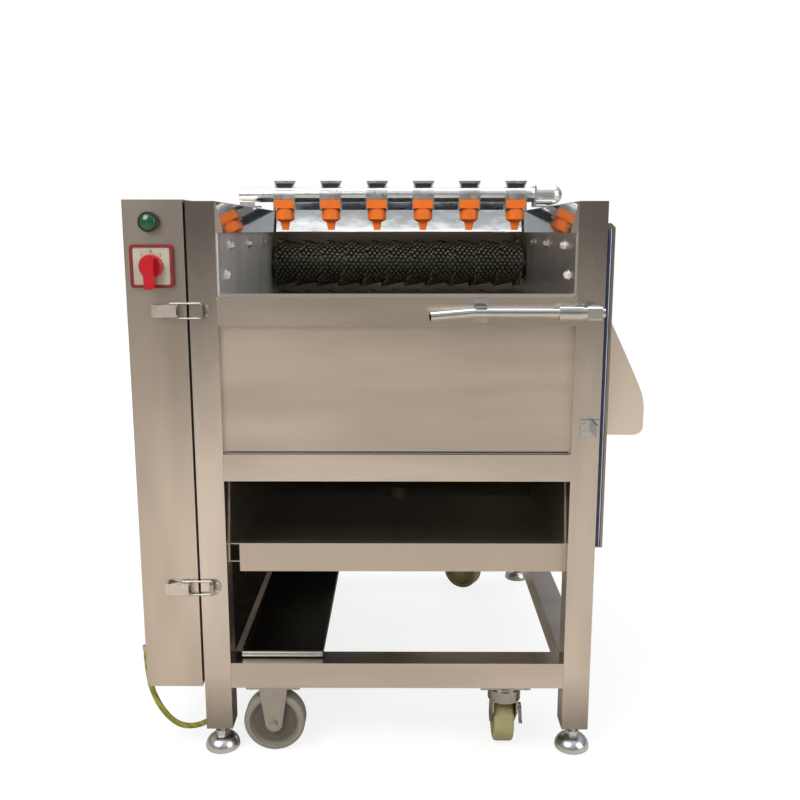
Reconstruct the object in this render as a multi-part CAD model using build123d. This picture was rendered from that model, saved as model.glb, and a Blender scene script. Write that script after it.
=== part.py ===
from build123d import *
import os
from math import asin, atan2, cos, degrees, hypot, pi, radians, sin, sqrt

# Brush-roller potato washer and peeler, in millimetres.
# X runs to the right, Y to the back, Z up from the floor. Sizes are first laid out about the centre
# of the four posts; the finished model is then moved so that its origin is the centre of its base.

# ---- roller bed --------------------------------------------------------------------------------
roller_count = 7
brush_radius = 46.0
brush_gap = 6.46                # between neighbouring brushes
brush_end_gap = 4.0             # from a brush to the end plate
brush_core_radius = 32.0
bristle_rows = 36
bristle_tip = 5.4               # width of a row at its tip
bristle_root = 3.8
bed_radius = 200.0              # of the arc through the roller axes
bed_setback = 354.0             # arc centre, behind the front faces
rear_roller_angle = 11.1        # degrees above the horizontal
shaft_radius = 10.0
bearing_radius = 21.0
bearing_depth = 18.0
bearing_clearance = 1.05        # from the lowest bearing to the rail under it

# ---- frame -------------------------------------------------------------------------------------
tube = 40.0                     # square tube, outside
tube_wall = 1.5
frame_width = 584.0             # over the posts
frame_depth = 744.0
post_bottom = 40.0              # height of the posts' lower ends
hopper_height = 142.0           # frame's top above the bed's centre
feed_lip_drop = 30.0            # underside of the upper front rail below the bed's centre
plug_height = 14.0              # threaded plug in the foot of a post
sheet = 1.5                     # cladding
plate = 3.0                     # end plates, brackets
panel_set_back = 8.0            # front and rear panels behind the frame's faces
panel_flange = 18.0
seat_gap = 0.3                  # between pieces that move past each other
shaft_gap = 0.05                # radial, shaft in its bearing

# ---- chain drive -------------------------------------------------------------------------------
nominal_pitch = 12.7
link_roller_radius = 4.25
roller_teeth = 12
reduction_teeth = 24
tooth_width = 7.0
link_plate = 1.4
link_height = 10.0
chain_outset = 26.0             # bed chain outside the posts' left faces
chain_spacing = 26.0            # between the planes of the two chains
shaft_end = 12.0                # of a shaft beyond its sprocket's plane
driven_roller = 3               # counted from the rear, from 0
motor_radius = 69.0
motor_clearance = 16.0          # under the motor
motor_offset = 124.0            # wanted, of the motor's shaft behind the driven roller
gearbox_inset = 17.0
gearbox_width = 85.0
motor_length = 210.0

# ---- casing ------------------------------------------------------------------------------------
casing_width = 84.5
casing_rise = 2.5               # its base above the undersides of the lower rails
casing_overtop = 2.0            # its top above the frame
casing_lip = 16.0
gasket = 3.5

# ---- hopper ------------------------------------------------------------------------------------
flare_fold = 11.5               # fold line of a side flare, inside the post
flare_rise = 96.0               # run of the rear flare, front to back
flare_lead = 34.3               # its lower edge, in front of the rear roller's axis
splash_height = 28.0
guard_gap = 8.7                 # between the front guard and the front brush

# ---- controls ----------------------------------------------------------------------------------
pilot_inset = 46.5              # from the casing's open side
pilot_drop = 30.5               # below the casing's top
pilot_bezel_radius = 14.0
pilot_lens_radius = 10.5
switch_inset = 45.2
switch_drop = 91.0
switch_size = 60.0
switch_rim = 4.0
contact_block = 34.0
knob_radius = 16.4
knob_depth = 14.0
grip_length = 44.4
spindle_radius = 3.0
latch_outset = 18.0             # lever pivot outside the post, strike bar inside its outer face
bail_lead = 8.0                 # bail pins beyond the lever's pivot
latch_pivot_rise = 6.0          # in front of the casing and the post
bail_rise = 5.0
bail_wire = 1.5                 # radius
upper_latch_rise = 21.0         # above the underside of the upper rail
lower_latch_rise = 159.5        # above the casing's base

# ---- discharge ---------------------------------------------------------------------------------
opening_margin = 6.0            # end plate opening inside the brushes' inner arc
opening_drop = 26.0             # its level top edge below the bed's centre
gate_shaft_inset = 18.0
gate_shaft_radius = 8.0
gate_bush_radius = 12.0
gate_web_inset = 38.0
lever_reach = 230.0             # from the pivot to the open end
lever_bend = 62.0               # length of the bent end
lever_splay = 14.0              # degrees, bent end forward of the straight one
lever_droop = 4.0               # its tip below the lever's line
lever_radius = 6.5
lever_wall = 1.2
lever_setoff = 24.0             # lever axis in front of the posts
lever_stop_radius = 157.0
collar_step = 8.0               # collar outside the opening
chute_projection = 103.5
chute_floor_drop = 51.0
chute_skirt = 21.5              # cheeks below the end of the floor
chute_crest = 28.0              # top of the cheeks above the bed's centre
chute_corner = 15.0
cover_depth = 11.0
cover_drop = 101.0              # lower edge below the middle rail
cover_top_drop = 30.0

# ---- water -------------------------------------------------------------------------------------
pipe_radius = 12.5
pipe_wall = 1.5
pipe_rise = 21.4                # axis above the frame's top
pipe_end_inset = 14.0           # left end, from the post's outer face
elbow_length = 30.0
nozzle_count = 6
nozzle_margin = 19.2            # of the frame's clear width that the nozzle pitches leave over
nozzle_offset = 3.0             # of the row from the frame's centre
saddle_half = 17.5
inlet_bore = 12.06              # radius, G 3/4 thread
fitting_radius = 16.5
jet_radius = 2.5
clip_sheet = 1.2
clip_loop_height = 11.5         # above the pipe
drain_x = 0.0
pan_over_motor = 64.0           # its valley above the motor's shaft
pan_depth = 136.0               # from the middle rails' undersides to its valley
pan_front_setback = 20.0
pan_apron_height = 42.5
pan_apron_drop = 102.5          # apron's top below the middle rails
pan_front_fall = 7.0
pan_rear_rise = 128.0
pan_valley_setback = 388.0
drain_radius = 24.15
drain_length = 40.0
drain_wall = 2.0
drain_weld = 3.0                # level collar at the spout's root, in height and in radius

# ---- motor tray, feet and casters --------------------------------------------------------------
tray_inset = 15.0
tray_width = 123.0
tray_wall = 14.0
tray_roll = 6.0                 # radius of the rolled front lip
foot_radius = 26.3
foot_base_radius = 24.0
foot_rim = 3.0                  # height of its widest line
foot_crown = 21.0               # height of the dome
foot_nut = 9.0
foot_stem_radius = 6.0
swivel_inset = 87.0             # swivel pivots, from the post's inner face
rigid_inset = 63.0
caster_setback = 20.0
rear_caster_setback = 84.0
caster_lift = 0.8               # wheels clear of the floor while the feet carry the machine
rigid_wheel_radius = 47.0
rigid_wheel_width = 30.0
rigid_wheel_clearance = 10.2    # under its top plate
swivel_wheel_radius = 40.0
swivel_wheel_width = 31.0
swivel_trail = 25.0
rear_swivel_turn = 60.0         # degrees about Z from trailing to the back
axle_radius = 5.0
brake_axis_y = -13.0            # from the swivel pivot
brake_axis_z = 75.0
lead_radius = 4.25

# ---- places worked out from the sizes above ------------------------------------------------------
half_width = frame_width / 2
inner_half = half_width - tube
end_plate_inner = inner_half - plate
brush_length = 2 * (end_plate_inner - brush_end_gap)
front = -frame_depth / 2
rear = frame_depth / 2
bed_y = front + bed_setback
roller_step = 2 * degrees(asin((brush_radius + brush_gap / 2) / bed_radius))
roller_angles = [rear_roller_angle - roller_step * i for i in range(roller_count)]

lower_rail_base = 2 * rigid_wheel_radius + caster_lift + rigid_wheel_clearance + plate
motor_shaft_height = lower_rail_base + tube + motor_clearance + motor_radius
pan_valley_floor = motor_shaft_height + pan_over_motor
middle_rail_base = pan_valley_floor + pan_depth
pan_apron_top = middle_rail_base - pan_apron_drop
pan_apron_base = pan_apron_top - pan_apron_height
pan_front_floor = pan_valley_floor + pan_front_fall
pan_rear_floor = pan_valley_floor + pan_rear_rise
bed_drop = -bed_radius * min(sin(radians(a)) for a in roller_angles)
bed_height = middle_rail_base + tube + bearing_clearance + bearing_radius + bed_drop
upper_rail_base = bed_height - feed_lip_drop
frame_top = bed_height + hopper_height
roller_axes = [
    (bed_y + bed_radius * cos(radians(a)), bed_height + bed_radius * sin(radians(a)))
    for a in roller_angles
]

bed_chain_plane = half_width + chain_outset
motor_chain_plane = bed_chain_plane + chain_spacing
casing_right = -half_width - gasket
casing_left = casing_right - casing_width
casing_base = lower_rail_base + casing_rise
casing_top = frame_top + casing_overtop
pilot_x = casing_right - pilot_inset
pilot_height = casing_top - pilot_drop
switch_x = casing_right - switch_inset
switch_height = casing_top - switch_drop
latch_pivot_x = -half_width - latch_outset
latch_bail_x = latch_pivot_x - bail_lead
latch_bar_x = -half_width + latch_outset
latch_heights = {"upper": upper_rail_base + upper_latch_rise, "lower": casing_base + lower_latch_rise}

fold_half = inner_half - flare_fold
flare_top = frame_top - sheet
rear_flare_low = frame_top - tube - plate
rear_flare_low_y = roller_axes[0][0] - flare_lead
rear_flare_top_y = rear_flare_low_y + flare_rise
splash_top = frame_top + splash_height

opening_radius = bed_radius - brush_radius - opening_margin
opening_top = bed_height - opening_drop
collar_radius = opening_radius + collar_step
gate_shaft_x = half_width - gate_shaft_inset
gate_shaft_height = upper_rail_base + tube / 2
chute_half_width = collar_radius + 2
chute_start = half_width + cover_depth
chute_reach = chute_start + chute_projection
chute_floor_start = bed_height - collar_radius - 2 * sheet
chute_floor_end = chute_floor_start - chute_floor_drop
chute_base = chute_floor_end - chute_skirt
chute_top = bed_height + chute_crest
cover_base = middle_rail_base - cover_drop
cover_top = frame_top - cover_top_drop

pipe_height = frame_top + pipe_rise
pipe_left = -half_width + pipe_end_inset
pipe_right = inner_half - 12
inlet_x = pipe_right + elbow_length
nozzle_pitch = (2 * inner_half - nozzle_margin) / nozzle_count
gearbox_left = -inner_half + gearbox_inset
gearbox_right = gearbox_left + gearbox_width
motor_right = gearbox_right + motor_length
tray_left = -inner_half + tray_inset
tray_right = tray_left + tray_width
caster_reach = inner_half - swivel_inset
caster_left = -inner_half + rigid_inset


# ---- helpers -----------------------------------------------------------------------------------
def block(x0, x1, y0, y1, z0, z1):
    """Box between two corners."""
    return Pos((x0 + x1) / 2, (y0 + y1) / 2, (z0 + z1) / 2) * Box(x1 - x0, y1 - y0, z1 - z0)


def rod(radius, start, end):
    """Round bar between two points."""
    axis = Vector(*end) - Vector(*start)
    place = Plane(origin=start, z_dir=axis.normalized())
    return place * Cylinder(radius, axis.length, align=(Align.CENTER, Align.CENTER, Align.MIN))


def ring(outer, inner, start, end):
    """Round tube between two points."""
    return rod(outer, start, end) - rod(inner, start, end)


def polygon(points):
    return make_face(Polyline(*points, close=True))


def strip(points, thickness):
    """Outline of a folded sheet: the points run along one skin, the other lies to their left."""
    path = [Vector(*p) for p in points]
    steps = [(b - a).normalized() for a, b in zip(path, path[1:])]
    sides = [Vector(-s.Y, s.X) for s in steps]
    skin = []
    for i, point in enumerate(path):
        before = sides[max(i - 1, 0)]
        after = sides[min(i, len(sides) - 1)]
        skin.append(point + (before + after) * (thickness / (1 + before.dot(after))))
    return make_face(Polyline(*path, *reversed(skin), close=True))


def along_x(face, x0, x1):
    """Face drawn in (Y, Z), extruded from x0 to x1."""
    return extrude(Plane.YZ.offset(x0) * face, x1 - x0)


def along_y(face, y0, y1):
    """Face drawn in (X, Z), extruded from y0 to y1."""
    return extrude(Plane.XZ.offset(-y1) * face, y1 - y0)


def along_z(face, z0, z1):
    """Face drawn in (X, Y), extruded from z0 to z1."""
    return extrude(Plane.XY.offset(z0) * face, z1 - z0)


def square_tube(x0, x1, y0, y1, z0, z1):
    """Hollow square tube, open at the ends of its longest side."""
    sizes = (x1 - x0, y1 - y0, z1 - z0)
    walls = [0 if size == max(sizes) else tube_wall for size in sizes]
    core = block(x0 + walls[0], x1 - walls[0], y0 + walls[1], y1 - walls[1], z0 + walls[2], z1 - walls[2])
    return block(x0, x1, y0, y1, z0, z1) - core


def tray_shell(outer, wall, opening):
    """Box of sheet with one side left open."""
    return offset(outer, amount=-wall, openings=opening, kind=Kind.INTERSECTION)


# ---- frame -------------------------------------------------------------------------------------
def post(x0, y0):
    """Post with a capped top and a threaded plug at its foot."""
    outer = block(x0, x0 + tube, y0, y0 + tube, post_bottom, frame_top)
    hollow = block(
        x0 + tube_wall, x0 + tube - tube_wall, y0 + tube_wall, y0 + tube - tube_wall,
        post_bottom + plug_height, frame_top - tube_wall,
    )
    centre = (x0 + tube / 2, y0 + tube / 2)
    plug_top = post_bottom + plug_height
    thread = rod(foot_stem_radius + shaft_gap, (*centre, post_bottom - 1), (*centre, plug_top + 1))
    return outer - hollow - thread


def frame_posts():
    posts = [post(x0, y0) for x0 in (-half_width, inner_half) for y0 in (front, rear - tube)]
    bush_hole = rod(gate_bush_radius, (gate_shaft_x, front - 1, gate_shaft_height),
                    (gate_shaft_x, rear + 1, gate_shaft_height))
    return posts[:2] + [p - bush_hole for p in posts[2:]]


def frame_rails():
    rails = []
    for base in (lower_rail_base, middle_rail_base, upper_rail_base):
        rails.append(square_tube(-inner_half, inner_half, front, front + tube, base, base + tube))
    for base in (lower_rail_base, middle_rail_base, frame_top - tube):
        rails.append(square_tube(-inner_half, inner_half, rear - tube, rear, base, base + tube))
        for x0 in (-half_width, inner_half):
            rails.append(square_tube(x0, x0 + tube, front + tube, rear - tube, base, base + tube))
    return rails


# ---- roller bed --------------------------------------------------------------------------------
def end_plate_outline():
    """End plate in (Y, Z), notched round the upper front rail."""
    top = frame_top - tube - plate
    notch_y = front + tube + seat_gap
    notch_z = upper_rail_base + tube + seat_gap
    base = middle_rail_base + tube / 2
    return polygon([
        (front + plate, notch_z), (notch_y, notch_z), (notch_y, base),
        (rear - tube, base), (rear - tube, top), (front + plate, top),
    ])


def shaft_holes(face):
    clearance = 2.0
    for y, z in roller_axes:
        face -= Pos(y, z) * Circle(shaft_radius + clearance)
    return face


def discharge_outline(radius, top):
    """Round-bottomed U about the bed's centre, cut off level at the top."""
    keep = Pos(bed_y, top - radius) * Rectangle(2 * radius, 2 * radius)
    return (Pos(bed_y, bed_height) * Circle(radius)) & keep


def left_end_plate():
    return along_x(shaft_holes(end_plate_outline()), -inner_half, -end_plate_inner)


def right_end_plate():
    face = shaft_holes(end_plate_outline())
    face -= discharge_outline(opening_radius, opening_top)
    return along_x(face, end_plate_inner, inner_half)


def brush_section():
    """Core tube and the rows of bristles round it."""
    root = brush_core_radius - 1
    tip = sqrt(brush_radius ** 2 - (bristle_tip / 2) ** 2)
    row = polygon([
        (root, -bristle_root / 2), (tip, -bristle_tip / 2), (tip, bristle_tip / 2), (root, bristle_root / 2),
    ])
    face = Circle(brush_core_radius) + [Rot(0, 0, 360 * i / bristle_rows) * row for i in range(bristle_rows)]
    return face - Circle(shaft_radius)


def brush(section, axis):
    """Nylon brush on its shaft, its bristle rows along X."""
    sleeve = Pos(0, 0, -brush_length / 2) * extrude(section, brush_length)
    return Pos(0, *axis) * Rot(0, 90, 0) * sleeve


def sprocket(teeth, pitch, turn):
    """Toothed plate about Z, one tooth gap at the angle `turn` in degrees."""
    pitch_radius = teeth * pitch / (2 * pi)
    tip_radius = pitch_radius + 0.2 * pitch
    gap_radius = link_roller_radius + 0.12
    flare = 0.53 * pitch
    mouth = tip_radius + 2
    disc = Circle(tip_radius)
    gap = Pos(pitch_radius, 0) * Circle(gap_radius)
    gap += polygon([
        (pitch_radius, -gap_radius), (mouth, -flare), (mouth, flare), (pitch_radius, gap_radius),
    ])
    for i in range(teeth):
        disc -= Rot(0, 0, turn + 360 * i / teeth) * gap
    return Pos(0, 0, -tooth_width / 2) * extrude(disc, tooth_width)


def sprocket_on_shaft(teeth, pitch, turn, x, axis, bore, hub_radius, hub_reach):
    """Sprocket with its hub, at x on a shaft along X; its angle counts from +Y towards +Z."""
    hub = Pos(0, 0, hub_reach / 2) * Cylinder(hub_radius, abs(hub_reach))
    wheel = sprocket(teeth, pitch, turn) + hub - Cylinder(bore, 4 * abs(hub_reach))
    return Plane(origin=(x, *axis), x_dir=(0, 1, 0), z_dir=(1, 0, 0)) * wheel


def bed_chain_pitch():
    """Pitch that closes an even number of links round all the rollers."""
    spans = [hypot(b[0] - a[0], b[1] - a[1]) for a, b in zip(roller_axes, roller_axes[1:] + roller_axes[:1])]
    links = 2 * round((sum(spans) / nominal_pitch + roller_teeth) / 2)
    return sum(spans) / (links - roller_teeth), links


def wrap(axes, radii):
    """Tangent lines and arcs of a chain round wheels, walked clockwise in (Y, Z).

    Gives for each wheel the angle at which the chain arrives and the angle at which it leaves.
    """
    arrivals, departures = [], []
    count = len(axes)
    for i in range(count):
        a, b = axes[i], axes[(i + 1) % count]
        run = (b[0] - a[0], b[1] - a[1])
        heading = atan2(run[1], run[0])
        lean = asin((radii[i] - radii[(i + 1) % count]) / hypot(*run))
        departures.append(heading + pi / 2 - lean)
    for i in range(count):
        arrivals.append(departures[i - 1])
    return arrivals, departures


def chain_stations(axes, radii, pitch, links):
    """Places of the link rollers, the first at the point where the chain leaves wheel 0."""
    arrivals, departures = wrap(axes, radii)
    count = len(axes)
    pieces = []
    for i in range(count):
        j = (i + 1) % count
        leave = (axes[i][0] + radii[i] * cos(departures[i]), axes[i][1] + radii[i] * sin(departures[i]))
        meet = (axes[j][0] + radii[j] * cos(arrivals[j]), axes[j][1] + radii[j] * sin(arrivals[j]))
        pieces.append(("line", leave, meet, hypot(meet[0] - leave[0], meet[1] - leave[1])))
        turn = (arrivals[j] - departures[j]) % (2 * pi)
        pieces.append(("arc", j, arrivals[j], radii[j] * turn))
    stations = []
    for k in range(links):
        s = k * pitch
        for kind, first, second, length in pieces:
            if s <= length:
                break
            s -= length
        if kind == "line":
            t = s / length
            stations.append((first[0] + (second[0] - first[0]) * t, first[1] + (second[1] - first[1]) * t))
        else:
            angle = second - s / radii[first]
            y, z = axes[first]
            stations.append((y + radii[first] * cos(angle), z + radii[first] * sin(angle)))
    return stations, pieces


def wheel_phases(axes, radii, pitch, links):
    """Angle in degrees, for each wheel, of a tooth gap that the link rollers seat in."""
    walked = 0.0
    phases = {}
    for kind, first, second, length in chain_stations(axes, radii, pitch, links)[1]:
        if kind == "arc":
            phases[first] = degrees(second + walked / radii[first])
        walked += length
    return phases


def link_rollers(stations, x, half_length):
    """Six-sided link rollers at their stations, across the chain's plane at x."""
    roller = RegularPolygon(link_roller_radius, 6)
    return [along_x(Pos(y, z) * roller, x - half_length, x + half_length) for y, z in stations]


def seated_rollers(stations, axis, pitch_radius, x):
    """Link rollers that lie in the tooth gaps of one wheel, and turn with it."""
    slack = 0.08
    near = [s for s in stations if hypot(s[0] - axis[0], s[1] - axis[1]) < pitch_radius + slack]
    return link_rollers(near, x, tooth_width / 2)


def chain(axes, radii, pitch, links, x):
    """Roller chain as one closed loop: two bands of link plates and the rollers of its straight runs."""
    stations, pieces = chain_stations(axes, radii, pitch, links)
    half = link_height / 2

    def loop(grow):
        edges = []
        for kind, first, second, length in pieces:
            if kind == "line":
                run = Vector(*second) - Vector(*first)
                side = Vector(-run.Y, run.X).normalized() * grow
                edges.append(Line(Vector(*first) + side, Vector(*second) + side))
            else:
                start = degrees(second)
                sweep_angle = -degrees(length / radii[first])
                edges.append(CenterArc(axes[first], radii[first] + grow, start, sweep_angle))
        return make_face(Wire(edges))

    band = loop(half) - loop(-half)
    inside = tooth_width / 2 + seat_gap
    clear = 2 * link_roller_radius + seat_gap
    wheels = list(zip(axes, radii))
    free = [s for s in stations if all(hypot(s[0] - a[0], s[1] - a[1]) > r + clear for a, r in wheels)]
    plates = along_x(band, x + inside, x + inside + link_plate)
    plates += along_x(band, x - inside - link_plate, x - inside)
    return plates + link_rollers(free, x, inside)


def sprockets_on(axis, mesh, x, bore, hub_radius, hub_reach):
    """Sprocket at one axis of a chain's mesh, with the link rollers seated in it."""
    axes, radii, pitch, links, teeth, phases = mesh
    i = axes.index(axis)
    wheel = sprocket_on_shaft(teeth[i], pitch, phases[i], x, axis, bore, hub_radius, hub_reach)
    return [wheel] + seated_rollers(chain_stations(axes, radii, pitch, links)[0], axis, radii[i], x)


def chain_mesh(axes, teeth, pitch, links):
    """Axes, pitch radii, pitch, links, teeth and tooth phases of a chain and its wheels."""
    radii = [count * pitch / (2 * pi) for count in teeth]
    return axes, radii, pitch, links, teeth, wheel_phases(axes, radii, pitch, links)


def roller_bed():
    """Brushes, shafts with their sprockets, and both chains."""
    bed = chain_mesh(roller_axes, [roller_teeth] * roller_count, *bed_chain_pitch())
    motor_axes, motor_links = motor_chain_layout()
    motor = chain_mesh(motor_axes, [reduction_teeth, roller_teeth], nominal_pitch, motor_links)
    section = brush_section()
    nodes = {}
    for i, axis in enumerate(roller_axes):
        nodes[f"brush_roller_{i + 1}"] = [brush(section, axis)]
        driven = i == driven_roller
        end = (motor_chain_plane if driven else bed_chain_plane) + shaft_end
        shaft = rod(shaft_radius, (-end, *axis), (inner_half + bearing_depth, *axis))
        wheels = sprockets_on(axis, bed, -bed_chain_plane, shaft_radius, 17, 14)
        if driven:
            wheels += sprockets_on(axis, motor, -motor_chain_plane, shaft_radius, 22, 12)
        nodes[f"roller_shaft_{i + 1}"] = [shaft] + wheels
    nodes["drive_chain"] = [chain(*bed[:4], -bed_chain_plane), chain(*motor[:4], -motor_chain_plane)]
    axis = motor_axes[1]
    stub = rod(shaft_radius, (-motor_chain_plane - shaft_end, *axis), (gearbox_left + 30, *axis))
    nodes["motor_sprocket"] = [stub] + sprockets_on(axis, motor, -motor_chain_plane, shaft_radius, 17, 14)
    return nodes


def motor_chain_length(distance, small, large):
    """Length of a chain round two wheels whose axes lie a distance apart."""
    lean = asin((large - small) / distance)
    return 2 * distance * cos(lean) + pi * (large + small) + 2 * lean * (large - small)


def motor_chain_layout():
    """Axes of the two wheels of the motor's chain, and its links; the motor is set so that it closes."""
    small = roller_teeth * nominal_pitch / (2 * pi)
    large = reduction_teeth * nominal_pitch / (2 * pi)
    y, z = roller_axes[driven_roller]
    drop = z - motor_shaft_height
    distance = hypot(motor_offset, drop)
    links = 2 * round(motor_chain_length(distance, small, large) / nominal_pitch / 2)
    for _ in range(8):
        distance += (links * nominal_pitch - motor_chain_length(distance, small, large)) / 2
    return [(y, z), (y + sqrt(distance ** 2 - drop ** 2), motor_shaft_height)], links


def shaft_bearings():
    """Flanged bearings on the outer faces of the end plates, and the bushes of the gate shaft."""
    solids = []
    bore = shaft_radius + shaft_gap
    for side in (-1, 1):
        for y, z in roller_axes:
            flange = rod(bearing_radius, (side * inner_half, y, z), (side * (inner_half + 5), y, z))
            body = rod(bearing_radius - 4, (side * (inner_half + 5), y, z),
                       (side * (inner_half + bearing_depth), y, z))
            solids.append(flange + body - rod(bore, (side * 200, y, z), (side * 300, y, z)))
    for y0, y1 in ((front - 2, front + tube + 2), (rear - tube - 2, rear)):
        sleeve = ring(gate_bush_radius, gate_shaft_radius + shaft_gap,
                      (gate_shaft_x, y0, gate_shaft_height), (gate_shaft_x, y1, gate_shaft_height))
        solids.append(sleeve)
    return solids


# ---- feed hopper -------------------------------------------------------------------------------
def side_flare():
    """Left flare: stands on the end plate and leans out to the top rail. Drawn in (X, Z)."""
    ledge = frame_top - tube - plate
    crest = -inner_half + sheet + seat_gap
    face = strip([(-inner_half, ledge), (-fold_half, ledge), (crest, flare_top)], sheet)
    return along_y(face, front + 2, rear_flare_top_y)


def feed_hopper():
    left = side_flare()
    right = mirror(left, Plane.YZ)
    ledge_top = frame_top + sheet
    slope = [(rear_flare_low_y, rear_flare_low), (rear_flare_top_y, frame_top), (rear, frame_top)]
    back = along_x(strip(slope, sheet), -inner_half, inner_half)
    wedge = polygon([
        (-fold_half + 2.0, 0), (-fold_half + 2.0, frame_top - tube), (-inner_half + 4.0, frame_top - seat_gap),
        (-inner_half - 10, frame_top - seat_gap), (-inner_half - 10, 0),
    ])
    trim = along_y(wedge, front, rear)
    back = back - trim - mirror(trim, Plane.YZ)
    foot_y = rear - tube
    splash = [(rear - 25, ledge_top), (foot_y, ledge_top), (foot_y, splash_top), (foot_y + 8, splash_top)]
    splash_plate = along_x(strip(splash, -sheet), -inner_half, inner_half)
    lean = radians(128.7)
    reach = brush_radius + guard_gap
    edge = (roller_axes[-1][0] + reach * cos(lean), roller_axes[-1][1] + reach * sin(lean))
    lip = front + seat_gap
    sill = upper_rail_base + tube
    guard = strip([(lip, sill + 5), (lip, sill), (front + tube + 4, sill), edge], sheet)
    front_guard = along_x(guard, -end_plate_inner + seat_gap, end_plate_inner - seat_gap)
    return [left, right, back, splash_plate, front_guard]


# ---- panels ------------------------------------------------------------------------------------
def wall_tray(y_face, depth, z0, z1):
    """Folded panel between the posts; its flanges seat on the rails and posts."""
    y0, y1 = sorted((y_face, y_face + depth))
    outer = block(-inner_half, inner_half, y0, y1, z0, z1)
    open_side = outer.faces().sort_by(Axis.Y)[-1 if depth > 0 else 0]
    return tray_shell(outer, sheet, open_side)


def front_panel():
    return [wall_tray(front + panel_set_back, panel_flange, middle_rail_base + tube, upper_rail_base)]


def rear_panel():
    return [wall_tray(rear - panel_set_back, -panel_flange, middle_rail_base + tube, frame_top - tube)]


# ---- right side: cover, gate and chute ---------------------------------------------------------
def right_cover():
    """Shallow pan over the right side, open towards the frame, with the discharge cut-out."""
    outer = block(half_width, half_width + cover_depth, front + 2, rear - 2, cover_base, cover_top)
    upper_edges = outer.edges().filter_by(Axis.Y).group_by(Axis.X)[-1].sort_by(Axis.Z)
    outer = chamfer(upper_edges[-1], cover_depth * 0.55)
    shell = tray_shell(outer, sheet, outer.faces().sort_by(Axis.X)[0])
    cut = discharge_outline(collar_radius + sheet, bed_height)
    return [shell - along_x(cut, half_width - 1, half_width + cover_depth + 1)]


def discharge_chute():
    """Open scoop: two cheeks, a sloping floor, and the round collar that leads to it."""
    x0 = chute_start
    corner = chute_corner
    rise = chute_top - chute_base
    reach = chute_projection
    lip = (chute_reach, chute_base + corner + 0.1 * rise)
    bulge = (chute_reach - 0.135 * reach, chute_base + 0.357 * rise)
    shoulder = (chute_reach - 0.58 * reach, chute_base + 0.723 * rise)
    edge = Spline(lip, bulge, shoulder, (x0, chute_top), tangents=((0, 1), (-0.6, 0.8)))
    cheek = make_face([
        Line((x0, chute_top), (x0, chute_base)),
        Line((x0, chute_base), (chute_reach - corner, chute_base)),
        RadiusArc((chute_reach - corner, chute_base), (chute_reach, chute_base + corner), -corner),
        Line((chute_reach, chute_base + corner), lip),
        edge,
    ])
    low = bed_y - chute_half_width
    high = bed_y + chute_half_width
    cheeks = along_y(cheek, low, low + sheet) + along_y(cheek, high - sheet, high)
    slope = strip([(x0 + sheet, chute_floor_start), (chute_reach - 12, chute_floor_end),
                   (chute_reach - 12, chute_floor_end - 12)], -sheet)
    floor = along_y(slope, low, high)
    flange_top = chute_top - 18
    flanges = block(x0, x0 + sheet, low - 14, low + sheet, chute_base + 4, flange_top)
    flanges += block(x0, x0 + sheet, high - sheet, high + 14, chute_base + 4, flange_top)
    collar_face = discharge_outline(collar_radius + sheet - seat_gap, opening_top)
    collar_face -= Pos(bed_y, bed_height) * Circle(collar_radius - seat_gap)
    collar = along_x(collar_face, inner_half, x0)
    return [cheeks + floor + flanges, collar]


def discharge_door():
    """Gate plate, folded out to the sleeve that clamps on the shaft."""
    skin = inner_half + seat_gap
    face = discharge_outline(opening_radius + 4, opening_top + 2)
    gate = along_x(face, skin, skin + 2)
    sleeve_foot = (gate_shaft_x - 9, gate_shaft_height - 2)
    web = strip([(skin, opening_top - 4), (skin, opening_top + 3), sleeve_foot], -2)
    half = opening_radius - gate_web_inset
    gate += along_y(web, bed_y - half, bed_y + half)
    at = (gate_shaft_x, gate_shaft_height)
    gate += rod(gate_shaft_radius + 3.5, (at[0], bed_y - half, at[1]), (at[0], bed_y + half, at[1]))
    gate -= rod(gate_shaft_radius, (at[0], bed_y - half - 1, at[1]), (at[0], bed_y + half + 1, at[1]))
    return [gate]


def door_shaft():
    x, z = gate_shaft_x, gate_shaft_height
    return [rod(gate_shaft_radius, (x, front - lever_setoff + 9.5, z), (x, rear - 4, z))]


def door_lever():
    """Bent open-ended tube, its sleeve, the clamping ring and the square hub on the shaft."""
    y = front - lever_setoff
    x, z = gate_shaft_x, gate_shaft_height
    bend = Vector(x - lever_reach + lever_bend, y, z)
    splay = radians(lever_splay)
    end = bend + Vector(-lever_bend * cos(splay), -lever_bend * sin(splay), -lever_droop)
    path = FilletPolyline((x - 12, y, z), bend, end, radius=60)
    section = Plane(origin=path @ 0, z_dir=path % 0)
    tube_part = sweep(section * Circle(lever_radius), path)
    tube_part -= sweep(section * Circle(lever_radius - lever_wall), path)
    sleeve = ring(11, lever_radius, (x - 50, y, z), (x - 18, y, z))
    collar = ring(9.5, lever_radius, (x - 18, y, z), (x - 12, y, z))
    hub = block(x - 12, x + 8, y - 9.5, y + 9.5, z - 9.5, z + 9.5)
    hub = chamfer(hub.edges().filter_by(Axis.X), 2.5)
    nose = rod(7, (x + 8, y, z), (x + 13, y, z))
    boss = ring(12, gate_shaft_radius, (x, y + 9.5, z), (x, front - 3, z))
    return [tube_part, sleeve, collar, hub + nose, boss]


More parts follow.
